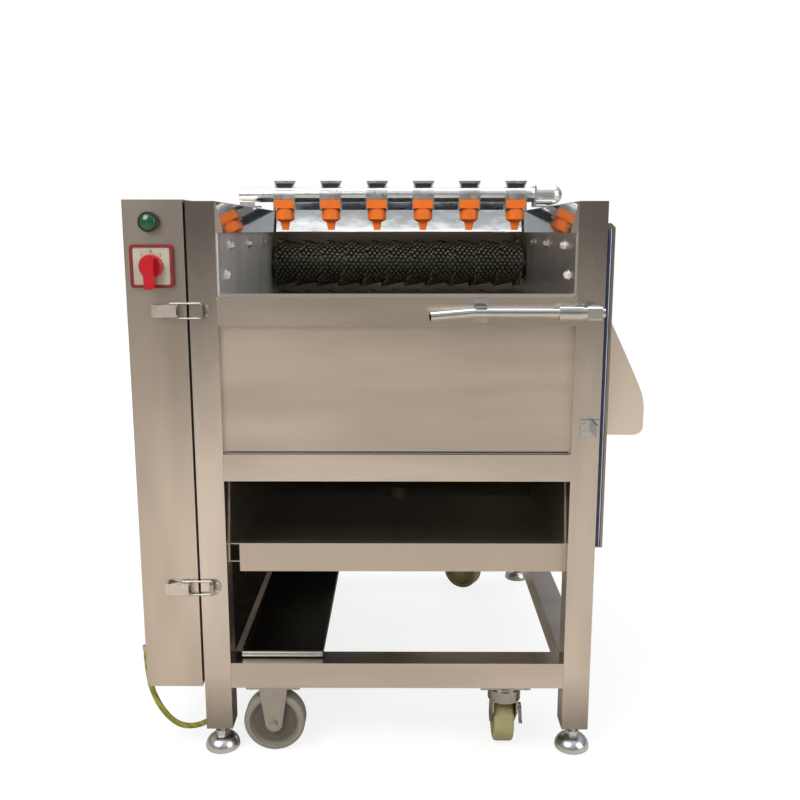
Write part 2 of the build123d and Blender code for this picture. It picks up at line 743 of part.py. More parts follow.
def lever_catches():
    """Stops of the lever: over it when the gate is shut, beside it when the gate is open."""
    y = front - lever_setoff
    x = gate_shaft_x - lever_stop_radius
    z = gate_shaft_height + lever_radius + seat_gap
    foot = block(x - 10, x + 10, front - plate, front, z - 22, upper_rail_base + tube - 1)
    shelf = block(x - 8, x + 8, y - 4, front, z, z + plate)
    cheek_half = 9
    drop = lever_stop_radius + 10
    z = gate_shaft_height - drop
    past_bend = max(drop + cheek_half - (lever_reach - lever_bend), 0)
    lean = past_bend * lever_droop / (lever_bend * cos(radians(lever_splay)))
    side = gate_shaft_x + lever_radius + seat_gap + lean
    backing = block(side - 17, side + 10, front - plate, front, z - 12, z + 12)
    cheek = block(side, side + plate, y - 4, front, z - cheek_half, z + cheek_half)
    return [foot + shelf, backing + cheek]


# ---- drive casing and controls -----------------------------------------------------------------
def drive_casing():
    outer = block(casing_left, casing_right, front, rear, casing_base, casing_top)
    outer = fillet(outer.edges().filter_by(Axis.Z).group_by(Axis.X)[0], 2.5)
    shell = tray_shell(outer, sheet, outer.faces().sort_by(Axis.X)[-1])
    lip = block(casing_right - sheet, casing_right, front, rear, casing_base, casing_top)
    lip -= block(casing_right - 2 * sheet, casing_right + 1, front + casing_lip, rear - casing_lip,
                 casing_base + casing_lip, casing_top - casing_lip)
    pilot_hole = along_y(Pos(pilot_x, pilot_height) * Circle(pilot_bezel_radius - 3), front - 5, front + 5)
    square = Rectangle(contact_block + 2, contact_block + 2)
    switch_hole = along_y(Pos(switch_x, switch_height) * square, front - 5, front + 5)
    return [shell + lip - pilot_hole - switch_hole]


def casing_gasket():
    inset, width = 6.0, 9.0
    outer = Pos(0, (casing_base + casing_top) / 2) * Rectangle(
        frame_depth - 2 * inset, casing_top - casing_base - 2 * inset)
    return [along_x(outer - offset(outer, amount=-width, kind=Kind.INTERSECTION), casing_right, -half_width)]


def pilot_bezel():
    at = (pilot_x, pilot_height)
    barrel = pilot_bezel_radius - 3.2
    head = ring(pilot_bezel_radius, pilot_lens_radius, (at[0], front - 9, at[1]), (at[0], front - 2.5, at[1]))
    base = rod(pilot_bezel_radius, (at[0], front - 2.5, at[1]), (at[0], front, at[1]))
    body = rod(barrel, (at[0], front, at[1]), (at[0], front + 34, at[1]))
    nut = ring(pilot_bezel_radius, barrel, (at[0], front + sheet, at[1]), (at[0], front + sheet + 5, at[1]))
    return [head + base + body, nut]


def pilot_lens():
    """Domed lens seated in the bezel."""
    height, crown = 11.0, 18.0
    barrel = Cylinder(pilot_lens_radius, height, align=(Align.CENTER, Align.CENTER, Align.MIN))
    dome = barrel & Pos(0, 0, height - crown) * Sphere(crown)
    return [Plane(origin=(pilot_x, front - 2.5, pilot_height), z_dir=(0, -1, 0)) * dome]


def switch_plate():
    """Framed escutcheon, its printed face, and the contact block behind the casing wall."""
    inside = RectangleRounded(switch_size - 2 * switch_rim, switch_size - 2 * switch_rim, 3)
    frame_plate = RectangleRounded(switch_size, switch_size, 5) - inside
    centre = (switch_x, switch_height)
    rim = along_y(Pos(*centre) * frame_plate, front - 6, front)
    bore = along_y(Pos(*centre) * Circle(spindle_radius + shaft_gap), front - 10, front + 20)
    face = along_y(Pos(*centre) * inside, front - 4.5, front) - bore
    contacts = along_y(Pos(*centre) * Rectangle(contact_block, contact_block), front, front + 44) - bore
    return [rim, face, contacts]


def switch_knob():
    """Round knob with a tapered grip that points down at rest."""
    y = front - 4.5 - seat_gap
    skirt = rod(knob_radius, (switch_x, y, switch_height), (switch_x, y - knob_depth * 0.55, switch_height))
    skirt = chamfer(skirt.edges().sort_by(Axis.Y)[0], 1.5)
    grip_top = switch_height + knob_radius - 3
    grip_face = polygon([
        (switch_x - 8.2, grip_top), (switch_x + 8.2, grip_top),
        (switch_x + 6.4, grip_top - grip_length), (switch_x - 6.4, grip_top - grip_length),
    ])
    grip = along_y(grip_face, y - knob_depth - 6, y - 1.8)
    grip = fillet(grip.edges().filter_by(Axis.Y), 3)
    spindle = rod(spindle_radius, (switch_x, y - 2, switch_height), (switch_x, front + 12, switch_height))
    return [skirt + grip + spindle]


# ---- toggle latches ----------------------------------------------------------------------------
def latch_base(z):
    """Base plate on the casing with two ears for the lever's pivot pin."""
    x, y = latch_pivot_x, front - latch_pivot_rise
    base = block(x - 20, x + 8, front - sheet, front, z - 13, z + 13)
    ear_root = Pos(x, (y + front - sheet) / 2) * Rectangle(7.4, latch_pivot_rise - sheet)
    ear_face = Pos(x, y) * Circle(3.7) + ear_root
    ears = along_z(ear_face, z - 6.7, z - 5.2) + along_z(ear_face, z + 5.2, z + 6.7)
    return base + ears - rod(1.5 + shaft_gap, (x, y, z - 20), (x, y, z + 20))


def latch_strike(z):
    """D-shaped strike plate on the post with its hook, open away from the lever."""
    wall = latch_bar_x - bail_wire - seat_gap
    disc = Pos(latch_bar_x - 0.5, z) * Circle(13)
    base = along_y(disc & (Pos(wall + 13, z) * Rectangle(30, 30)), front - sheet, front)
    hook = strip([(wall, front - sheet), (wall, front - 9.2), (latch_bar_x + 3, front - 9.2)], -sheet)
    return base + along_z(hook, z - 7.5, z + 7.5)


def latch_plates():
    return [make(z) for z in latch_heights.values() for make in (latch_base, latch_strike)]


def latch_lever(z):
    """Folded lever: skin, two cheeks and the pivot pin."""
    x, y = latch_pivot_x, front - latch_pivot_rise
    skin_face = strip([(x + 2, y - 4), (x - 26, y - 4), (x - 32.5, y - 1.5)], sheet)
    cheek_face = polygon([(x - 26, y - 4), (x - 16, y + 3.7), (x, y + 3.7), (x + 2, y - 4)])
    cheek_face += Pos(x, y) * Circle(3.7)
    lever = along_z(skin_face, z - 8.5, z + 8.5) + along_z(cheek_face, z - 8.5, z - 7)
    lever += along_z(cheek_face, z + 7, z + 8.5) + rod(1.5, (x, y, z - 8.5), (x, y, z + 8.5))
    pivot_y = front - bail_rise
    return [lever - rod(bail_wire + shaft_gap, (latch_bail_x, pivot_y, z - 9), (latch_bail_x, pivot_y, z + 9))]


def latch_bail(z):
    """Wire loop from the lever's cheeks round the strike's hook."""
    y = front - bail_rise
    path = FilletPolyline(
        (latch_bail_x, y, z - 7), (latch_bail_x, y, z - 10.5), (latch_bar_x, y, z - 10.5),
        (latch_bar_x, y, z + 10.5), (latch_bail_x, y, z + 10.5), (latch_bail_x, y, z + 7),
        radius=1.7,
    )
    return [sweep(Plane(origin=path @ 0, z_dir=path % 0) * Circle(bail_wire), path)]


# ---- spray pipe --------------------------------------------------------------------------------
def pipe_end(x0, x1):
    return ring(pipe_radius, pipe_radius - pipe_wall, (x0, bed_y, pipe_height), (x1, bed_y, pipe_height))


def spray_pipe():
    """Spray tube with its closed left end, inlet elbow and the two brackets it rests in."""
    y, z = bed_y, pipe_height
    left = pipe_left
    right = pipe_right
    bore = pipe_radius - pipe_wall
    tube_part = pipe_end(left, right) + rod(pipe_radius, (left, y, z), (left + 2, y, z))
    for x in nozzle_xs():
        tube_part -= rod(jet_radius, (x, y, z - 2 * pipe_radius), (x, y, z))
    elbow_x = inlet_x
    fitting = rod(fitting_radius, (right, y, z), (elbow_x, y, z)) + Pos(elbow_x, y, z) * Sphere(fitting_radius)
    fitting += rod(fitting_radius, (elbow_x, y, z), (elbow_x, y + 42, z))
    fitting -= rod(inlet_bore, (elbow_x, y + 20, z), (elbow_x, y + 43, z))
    fitting -= rod(bore, (right - 1, y, z), (elbow_x, y, z)) + Pos(elbow_x, y, z) * Sphere(bore)
    fitting -= rod(bore, (elbow_x, y, z), (elbow_x, y + 22, z))
    cradle = block(left, left + 26, y - 3, y, frame_top, z - pipe_radius + 5)
    cradle += block(left, left + 34, y - 3, y + 24, frame_top, frame_top + plate)
    cradle -= rod(pipe_radius, (left - 1, y, z), (right, y, z))
    hanger = block(right - 4, right, y - 20, y + 18, frame_top + 1, z + 14)
    hanger += block(right - 4, inner_half + 30, y - 20, y - 2, frame_top, frame_top + plate)
    hanger -= rod(pipe_radius, (left, y, z), (right + 1, y, z))
    return [tube_part, fitting, cradle, hanger]


def nozzle_xs():
    return [nozzle_offset + nozzle_pitch * (i - (nozzle_count - 1) / 2) for i in range(nozzle_count)]


def nozzle(x):
    """Clip-on flat-spray nozzle: saddle under the pipe, waist, round body and flat tip."""
    y, z = bed_y, pipe_height
    saddle = block(x - saddle_half, x + saddle_half, y - 16, y + 16, z - 23, z - 8.4)
    saddle = fillet(saddle.edges().filter_by(Axis.Z), 3)
    waist = rod(14.5, (x, y, z - 26), (x, y, z - 23))
    body = rod(16.5, (x, y, z - 42), (x, y, z - 26)) + Pos(x, y, z - 44) * Cone(10, 16, 4)
    tip_face = polygon([(x - 8.5, z - 45.5), (x + 8.5, z - 45.5), (x + 5.5, z - 60.4), (x - 5.5, z - 60.4)])
    tip = along_y(tip_face, y - 3.5, y + 3.5)
    slot = block(x - 6, x + 6, y - 0.8, y + 0.8, z - 61, z - 56)
    passage = rod(jet_radius, (x, y, z - 57), (x, y, z))
    return saddle + waist + body + tip - rod(pipe_radius, (x - 20, y, z), (x + 20, y, z)) - passage - slot


def spray_nozzles():
    return [nozzle(x) for x in nozzle_xs()]


def nozzle_clip(x):
    """Spring clip: band over the pipe, a hook down each end of the saddle, and the raised loop on top."""
    y, z = bed_y, pipe_height
    outer = pipe_radius + clip_sheet
    reach = saddle_half + 0.1 + clip_sheet
    band = Pos(y, z) * (Circle(outer) - Circle(pipe_radius))
    band &= Pos(y, z + outer / 2) * Rectangle(3 * outer, outer)
    for side in (-1, 1):
        band += Pos(y + side * (outer - clip_sheet / 2), z - 4) * Rectangle(clip_sheet, 8)
    clip = along_x(band, x - reach, x + reach)
    hook = (Pos(y, z - 16) * Rectangle(2 * outer, 24)) - Pos(y, z) * Circle(pipe_radius + 0.1)
    for x0 in (x - reach, x + reach - clip_sheet):
        clip += along_x(hook, x0, x0 + clip_sheet)
    low = z + pipe_radius
    high = low + clip_loop_height
    loop = polygon([(x - 15, low), (x - 18, high), (x + 20, high), (x + 15, low)])
    hole = polygon([(x - 12.5, low), (x - 14.5, high - 4), (x + 16, high - 4), (x + 12.5, low)])
    clip += along_y(loop - hole, y - 5, y - 2)
    return clip - rod(pipe_radius, (x - 25, y, z), (x + 25, y, z))


def nozzle_clips():
    return [nozzle_clip(x) for x in nozzle_xs()]


# ---- motor -------------------------------------------------------------------------------------
def gear_motor():
    """Worm gearbox on the tray with its flanged, finned motor."""
    y, z = motor_chain_layout()[0][1]
    floor_top = lower_rail_base + tube + 2
    box = block(gearbox_left, gearbox_right, y - 62, y + 62, floor_top + 12, z + 62)
    box = fillet(box.edges().filter_by(Axis.X), 18)
    feet = block(gearbox_left + 4, gearbox_right - 4, y - 72, y + 72, floor_top, floor_top + 12)
    box = box + feet - rod(shaft_radius + shaft_gap, (gearbox_left - 1, y, z), (gearbox_left + 32, y, z))
    flange = rod(motor_radius, (gearbox_right, y, z), (gearbox_right + 12, y, z))
    body = rod(motor_radius - 6, (gearbox_right + 12, y, z), (motor_right - 36, y, z))
    fins = block(gearbox_right + 20, motor_right - 44, y - 1.5, y + 1.5, z - motor_radius, z + motor_radius)
    for turn in range(15, 180, 15):
        body += Pos(0, y, z) * Rot(turn, 0, 0) * Pos(0, -y, -z) * fins
    cowl = rod(motor_radius, (motor_right - 36, y, z), (motor_right, y, z))
    cowl = fillet(cowl.edges().sort_by(Axis.X)[-1], 8)
    terminals = block(gearbox_right + 30, gearbox_right + 110, y + 30, y + motor_radius + 22, z - 26, z + 26)
    return [box, flange + body + cowl + terminals]


def motor_tray():
    """Folded channel on the lower rails, its front end closed by a rolled lip."""
    z = lower_rail_base + tube
    section = strip([
        (tray_left, z + tray_wall), (tray_left, z), (tray_right, z), (tray_right, z + tray_wall - 2),
        (tray_right - 8, z + tray_wall - 2),
    ], 2)
    y, roll = front + 16 + tray_roll, tray_roll
    lip = ring(roll, roll - 1.5, (tray_left, y, z + roll), (tray_right, y, z + roll))
    lip -= block(tray_left - 1, tray_right + 1, y, y + 2 * roll, z - 1, z + 3 * roll)
    return [along_y(section, y - 0.5, rear - 16) + lip]


# ---- drain pan ---------------------------------------------------------------------------------
def drain_pan():
    """Pan under the rollers: apron, floor falling to the outlet and rising behind it, and side walls."""
    wall_top = middle_rail_base + tube / 2 - 4
    y0 = front + pan_front_setback
    y1 = front + pan_valley_setback
    y2 = rear - tube
    floor = along_x(strip([
        (y0, pan_front_floor), (y1, pan_valley_floor), (y2 - sheet, pan_rear_floor), (y2 - sheet, wall_top),
    ], -sheet), -inner_half, inner_half)
    apron = block(-inner_half + 16, inner_half, y0 - sheet, y0, pan_apron_base, pan_apron_top)
    lip = block(-inner_half, inner_half, y0 - sheet, front + tube, pan_apron_top, pan_apron_top + sheet)
    side = polygon([
        (y0, pan_front_floor), (y0, pan_apron_top), (front + tube + 1, middle_rail_base - 3),
        (front + tube + 1, wall_top), (y2, wall_top), (y2, pan_rear_floor), (y1, pan_valley_floor),
    ])
    walls = along_x(side, -inner_half, -inner_half + sheet) + along_x(side, inner_half - sheet, inner_half)
    end = pan_valley_floor - sheet - drain_length
    root = pan_valley_floor - sheet - drain_weld
    top = pan_valley_floor + drain_radius
    spout = rod(drain_radius, (drain_x, y1, end), (drain_x, y1, top))
    spout += rod(drain_radius + drain_weld, (drain_x, y1, root), (drain_x, y1, top))
    spout -= along_x(side, drain_x - 2 * drain_radius, drain_x + 2 * drain_radius)
    bore = rod(drain_radius - drain_wall, (drain_x, y1, end - 1), (drain_x, y1, top + 1))
    return [floor + apron + lip + walls + spout - bore]


# ---- casters and feet --------------------------------------------------------------------------
def caster_places():
    """Top plate centres (x, y) of the two rigid and the two swivel casters."""
    rows = (front + caster_setback, rear - rear_caster_setback)
    return [(caster_left, y) for y in rows], [(caster_reach, y) for y in rows]


def caster_plate(x, y, half):
    """Top plate; one set in from the rear rail reaches back to it."""
    back = y + tube / 2 if y < 0 else rear - 12
    return block(x - half, x + half, y - tube / 2, back, lower_rail_base - plate, lower_rail_base)


def rigid_bracket(x, y):
    """Plate and two cheeks; the axle runs front to back."""
    axle = rigid_wheel_radius + caster_lift
    top = lower_rail_base
    bracket = caster_plate(x, y, 41)
    reach = rigid_wheel_width / 2 + 1.5
    cheek_face = polygon([(x - 21.5, top - plate), (x + 21.5, top - plate), (x + 13, axle), (x - 13, axle)])
    cheek_face += Pos(x, axle) * Circle(13)
    for low in (y - reach - 2.5, y + reach):
        bracket += along_y(cheek_face, low, low + 2.5)
    return bracket + rod(axle_radius, (x, y - reach - 2.5, axle), (x, y + reach + 2.5, axle))


def swivel_plate(x, y):
    """Top plate with the fixed race and the king pin."""
    top = lower_rail_base
    head = swivel_head_base()
    part = caster_plate(x, y, 38)
    part += rod(22, (x, y, top - plate - 3), (x, y, top - plate))
    part += rod(6, (x, y, head - 1), (x, y, top - plate - 3))
    return part + rod(10, (x, y, head - 2.5), (x, y, head - seat_gap))


def swivel_head_base():
    """Underside of a swivel fork's yoke plate."""
    return 2 * swivel_wheel_radius + caster_lift + 3.5


def caster_brackets():
    rigid, swivel = caster_places()
    return [rigid_bracket(*place) for place in rigid] + [swivel_plate(*place) for place in swivel]


def swivel_frame(x, y, turn):
    """Place of a caster's pieces that are drawn about the origin, trailing to the back."""
    return Pos(x, y, 0) * Rot(0, 0, turn)


def swivel_fork():
    """Fork about its pivot at the origin, trailing to +Y."""
    base = swivel_head_base()
    axle = swivel_wheel_radius + caster_lift
    top = lower_rail_base - plate - 3 - seat_gap
    reach = swivel_wheel_width / 2 + 1.2
    fork = block(-reach - 2.5, reach + 2.5, -20, 22, base, base + 3)
    fork += rod(25, (0, 0, base), (0, 0, top))
    cheek = polygon([
        (-20, base + 3), (22, base + 3), (swivel_trail + 11, axle + 5), (swivel_trail - 11, axle - 5),
        (-20, brake_axis_z - 7),
    ])
    cheek += Pos(swivel_trail, axle) * Circle(12)
    for low in (-reach - 2.5, reach):
        fork += along_x(cheek, low, low + 2.5)
    fork += rod(axle_radius, (-reach - 2.5, swivel_trail, axle), (reach + 2.5, swivel_trail, axle))
    return fork - rod(6 + shaft_gap, (0, 0, base - 5), (0, 0, top + 5))


def braked_fork():
    """Swivel fork with the hole of the brake pedal's pin in its right cheek."""
    reach = 2 * swivel_wheel_width
    hole = rod(3 + shaft_gap, (0, brake_axis_y, brake_axis_z), (reach, brake_axis_y, brake_axis_z))
    return swivel_fork() - hole


def caster_brake():
    """Toe pedal on the fork's right cheek, with its boss and the pin that grips the wheel's side."""
    inner = swivel_wheel_width / 2 + 1.2
    outer = inner + 3
    y, z = brake_axis_y, brake_axis_z
    pin = rod(3, (inner, y, z), (outer + 3, y, z))
    boss = rod(6, (outer, y, z), (outer + 3, y, z))
    pedal_face = strip([(y + 4, z + 5), (y - 8, z + 2), (y - 15, z - 14), (y - 21, z - 15)], 2.5)
    return pin + boss + along_x(pedal_face, outer, outer + 5)


def wheel(radius, width, bore):
    """Wheel about the origin with its axle along X: tread, rim and hub."""
    body = Rot(0, 90, 0) * Pos(0, 0, -width / 2) * extrude(Circle(radius), width)
    body = fillet(body.edges(), 5)
    web = Rot(0, 90, 0) * extrude(Circle(radius - 9) - Circle(bore + 9), 5)
    body -= Pos(width / 2 - 5, 0, 0) * web
    body -= Pos(-width / 2, 0, 0) * web
    return body - rod(bore, (-width, 0, 0), (width, 0, 0))


def casters():
    """Wheels, swivel forks and the brake pedal."""
    rigid, swivel = caster_places()
    bore = axle_radius + shaft_gap
    nodes = {}
    for name, (x, y) in zip(("front_left", "rear_left"), rigid):
        turned = Pos(x, y, rigid_wheel_radius + caster_lift) * Rot(0, 0, 90)
        nodes[f"caster_wheel_{name}"] = [turned * wheel(rigid_wheel_radius, rigid_wheel_width, bore)]
    forks = (("front_right", braked_fork(), 0), ("rear_right", swivel_fork(), rear_swivel_turn))
    for (name, fork, turn), (x, y) in zip(forks, swivel):
        place = swivel_frame(x, y, turn)
        axle = Pos(0, swivel_trail, swivel_wheel_radius + caster_lift)
        nodes[f"swivel_fork_{name}"] = [place * fork]
        nodes[f"caster_wheel_{name}"] = [place * axle * wheel(swivel_wheel_radius, swivel_wheel_width, bore)]
    nodes["caster_brake"] = [swivel_frame(*swivel[0], 0) * caster_brake()]
    return nodes


def levelling_foot(x, y):
    """Domed foot with its lock nut and threaded stem under a post."""
    dome = foot_crown
    crown = 2 * foot_stem_radius
    profile = make_face([
        Line((0, 0), (foot_base_radius, 0)),
        ThreePointArc((foot_base_radius, 0), (foot_radius - 0.5, 0.4 * foot_rim), (foot_radius, foot_rim)),
        ThreePointArc((foot_radius, foot_rim), (0.84 * foot_radius, 0.7 * dome), (crown, dome)),
        Line((crown, dome), (0, dome)),
        Line((0, dome), (0, 0)),
    ])
    pad = revolve(Plane.XZ * profile, Axis.Z)
    nut = Pos(0, 0, dome) * extrude(RegularPolygon(11, 6), foot_nut)
    stem = rod(foot_stem_radius, (0, 0, dome), (0, 0, post_bottom + plug_height + 20))
    return [Pos(x, y, 0) * (pad + nut + stem)]


def levelling_feet():
    inset = half_width - tube / 2
    places = {
        "front_left": (-inset, front + tube / 2), "front_right": (inset, front + tube / 2),
        "rear_left": (-inset, rear - tube / 2), "rear_right": (inset, rear - tube / 2),
    }
    return {f"levelling_foot_{name}": levelling_foot(*place) for name, place in places.items()}


# ---- earth lead --------------------------------------------------------------------------------
def lead_points():
    """Route of the lead: x, distance behind the front faces, height."""
    return [
        Vector(-386.5, front + 26, 158), Vector(-386.5, front + 26, 106), Vector(-366, front + 26, 54),
        Vector(-336, front + 27, 26), Vector(-297, front + 38, 28), Vector(-279, front + 54, 42),
    ]


def lead_path():
    """Straight runs joined by tangent arcs, each as wide as its shorter run allows."""
    points = lead_points()
    edges = []
    start = points[0]
    for before, corner, after in zip(points, points[1:], points[2:]):
        arrive = (corner - before).normalized()
        leave = (after - corner).normalized()
        setback = 0.45 * min((corner - before).length, (after - corner).length)
        half_turn = radians(arrive.get_angle(leave)) / 2
        print("lead bend radius", round(setback / (sin(half_turn) / cos(half_turn)), 1))
        first = corner - arrive * setback
        last = corner + leave * setback
        edges.append(Line(start, first))
        edges.append(TangentArc(first, last, tangent=arrive))
        start = last
    edges.append(Line(start, points[-1]))
    return Wire(edges)


def earth_lead():
    path = lead_path()
    points = lead_points()
    section = Plane(origin=points[0], z_dir=points[1] - points[0]) * Circle(lead_radius)
    lead = sweep(section, path)
    print("lead volume", round(lead.volume), "section by length", round(pi * lead_radius ** 2 * path.length))
    print("lead length", round(path.length, 1))
    return [lead]


def lead_gland():
    """Terminal on the casing's side from which the lead hangs."""
    top = lead_points()[0]
    gland = rod(lead_radius + 1, top, top + Vector(0, 0, 6))
    return gland + block(casing_left - 5, casing_left, top.Y - 5, top.Y + 5, top.Z, top.Z + 6)


def lead_stud():
    """Earth stud on the back of the front left post, with the lead's lug."""
    points = lead_points()
    along = (points[-1] - points[-2]).normalized()
    lug = rod(lead_radius + 1, points[-1], points[-1] + along * 12)
    return lug + block(-275, -261, front + tube, front + tube + 26, post_bottom + 3, post_bottom + 17)


# ---- assembly ----------------------------------------------------------------------------------
def assembly():
    nodes = {
        "frame_posts": frame_posts() + [lead_stud()],
        "frame_rails": frame_rails(),
        "left_end_plate": [left_end_plate()],
        "right_end_plate": [right_end_plate()],
        "feed_hopper": feed_hopper(),
        "front_panel": front_panel(),
        "rear_panel": rear_panel(),
        "right_cover": right_cover(),
        "discharge_chute": discharge_chute(),
        "drive_casing": drive_casing() + [lead_gland()],
        "casing_gasket": casing_gasket(),
        "pilot_bezel": pilot_bezel(),
        "pilot_lens": pilot_lens(),
        "switch_plate": switch_plate(),
        "switch_knob": switch_knob(),
        "latch_plates": latch_plates(),
        "discharge_door": discharge_door(),
        "door_shaft": door_shaft(),
        "door_lever": door_lever(),
        "lever_catches": lever_catches(),
        "spray_pipe": spray_pipe(),
        "spray_nozzles": spray_nozzles(),
        "nozzle_clips": nozzle_clips(),
        "shaft_bearings": shaft_bearings(),
        "gear_motor": gear_motor(),
        "motor_tray": motor_tray(),
        "drain_pan": drain_pan(),
        "caster_brackets": caster_brackets(),
        "earth_lead": earth_lead(),
    }
    for name, height in latch_heights.items():
        nodes[f"{name}_latch_lever"] = latch_lever(height)
        nodes[f"{name}_latch_bail"] = latch_bail(height)
    nodes.update(roller_bed())
    nodes.update(casters())
    nodes.update(levelling_feet())
    return {
        name: Compound(children=[s for piece in pieces for s in piece.solids()])
        for name, pieces in nodes.items()
    }


def base_centre(nodes):
    """Centre of the outer box's base, the lead left out."""
    boxes = [node.bounding_box() for name, node in nodes.items() if name != "earth_lead"]
    low = [min(getattr(b.min, c) for b in boxes) for c in "XYZ"]
    high = [max(getattr(b.max, c) for b in boxes) for c in "XYZ"]
    return Vector((low[0] + high[0]) / 2, (low[1] + high[1]) / 2, low[2])


def build():
    nodes = assembly()
    origin = base_centre(nodes)
    print("origin", origin)
    os.makedirs("parts", exist_ok=True)
    for name, node in nodes.items():
        export_step(Pos(-origin.X, -origin.Y, -origin.Z) * node, f"parts/{name}.step")


if __name__ == "__main__":
    build()
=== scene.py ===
import random
from math import cos, radians, sin, tau

import bmesh
import bpy
from mathutils import Matrix, Vector


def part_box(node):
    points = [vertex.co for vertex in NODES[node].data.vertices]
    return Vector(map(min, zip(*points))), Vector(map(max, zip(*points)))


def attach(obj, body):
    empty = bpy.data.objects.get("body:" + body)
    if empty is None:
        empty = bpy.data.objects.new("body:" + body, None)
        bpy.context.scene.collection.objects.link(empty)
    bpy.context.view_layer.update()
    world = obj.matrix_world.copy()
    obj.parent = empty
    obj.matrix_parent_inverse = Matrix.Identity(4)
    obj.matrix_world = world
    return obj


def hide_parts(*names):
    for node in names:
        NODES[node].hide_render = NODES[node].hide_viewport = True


# Brush-roller potato washer and peeler: finish, small pieces, light and camera.
# Measures are in millimetres from the frame: x from its centre, y behind the posts' front faces,
# z above the floor. at() turns them into metres in the part's own frame.

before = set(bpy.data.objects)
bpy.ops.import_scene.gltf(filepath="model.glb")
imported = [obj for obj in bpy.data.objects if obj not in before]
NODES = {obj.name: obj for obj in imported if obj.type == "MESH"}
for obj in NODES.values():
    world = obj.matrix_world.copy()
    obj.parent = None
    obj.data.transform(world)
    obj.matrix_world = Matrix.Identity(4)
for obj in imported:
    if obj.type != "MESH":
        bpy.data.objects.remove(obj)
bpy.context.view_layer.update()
MM = 0.001

posts_low, posts_high = (Vector(c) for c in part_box("frame_posts"))
ORIGIN = Vector(((posts_low.x + posts_high.x) / 2, posts_low.y, 0.0))
HALF_WIDTH = (posts_high.x - posts_low.x) / 2 / MM
DEPTH = (posts_high.y - posts_low.y) / MM
TOP = posts_high.z / MM
TUBE = 40.0                         # square tube, outside
PLATE = 3.0                         # end plates of the roller bed
SHEET = 1.5                         # pan and latch strikes
INNER = HALF_WIDTH - TUBE           # inner faces of the posts
FRONT = (0, -1, 0)                  # normal of what faces the front


def at(x, y, z):
    return ORIGIN + Vector((x, y, z)) * MM


def box_centre(name):
    """Centre of a CAD node, in metres."""
    low, high = (Vector(c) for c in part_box(name))
    return (low + high) / 2


def node_centre(name):
    """Centre of a CAD node, in millimetres from the frame."""
    return (box_centre(name) - ORIGIN) / MM


# ---- materials -----------------------------------------------------------------------------------
NOISE_LOW, NOISE_HIGH = 0.3, 0.7    # between them lies nearly all that a noise texture gives


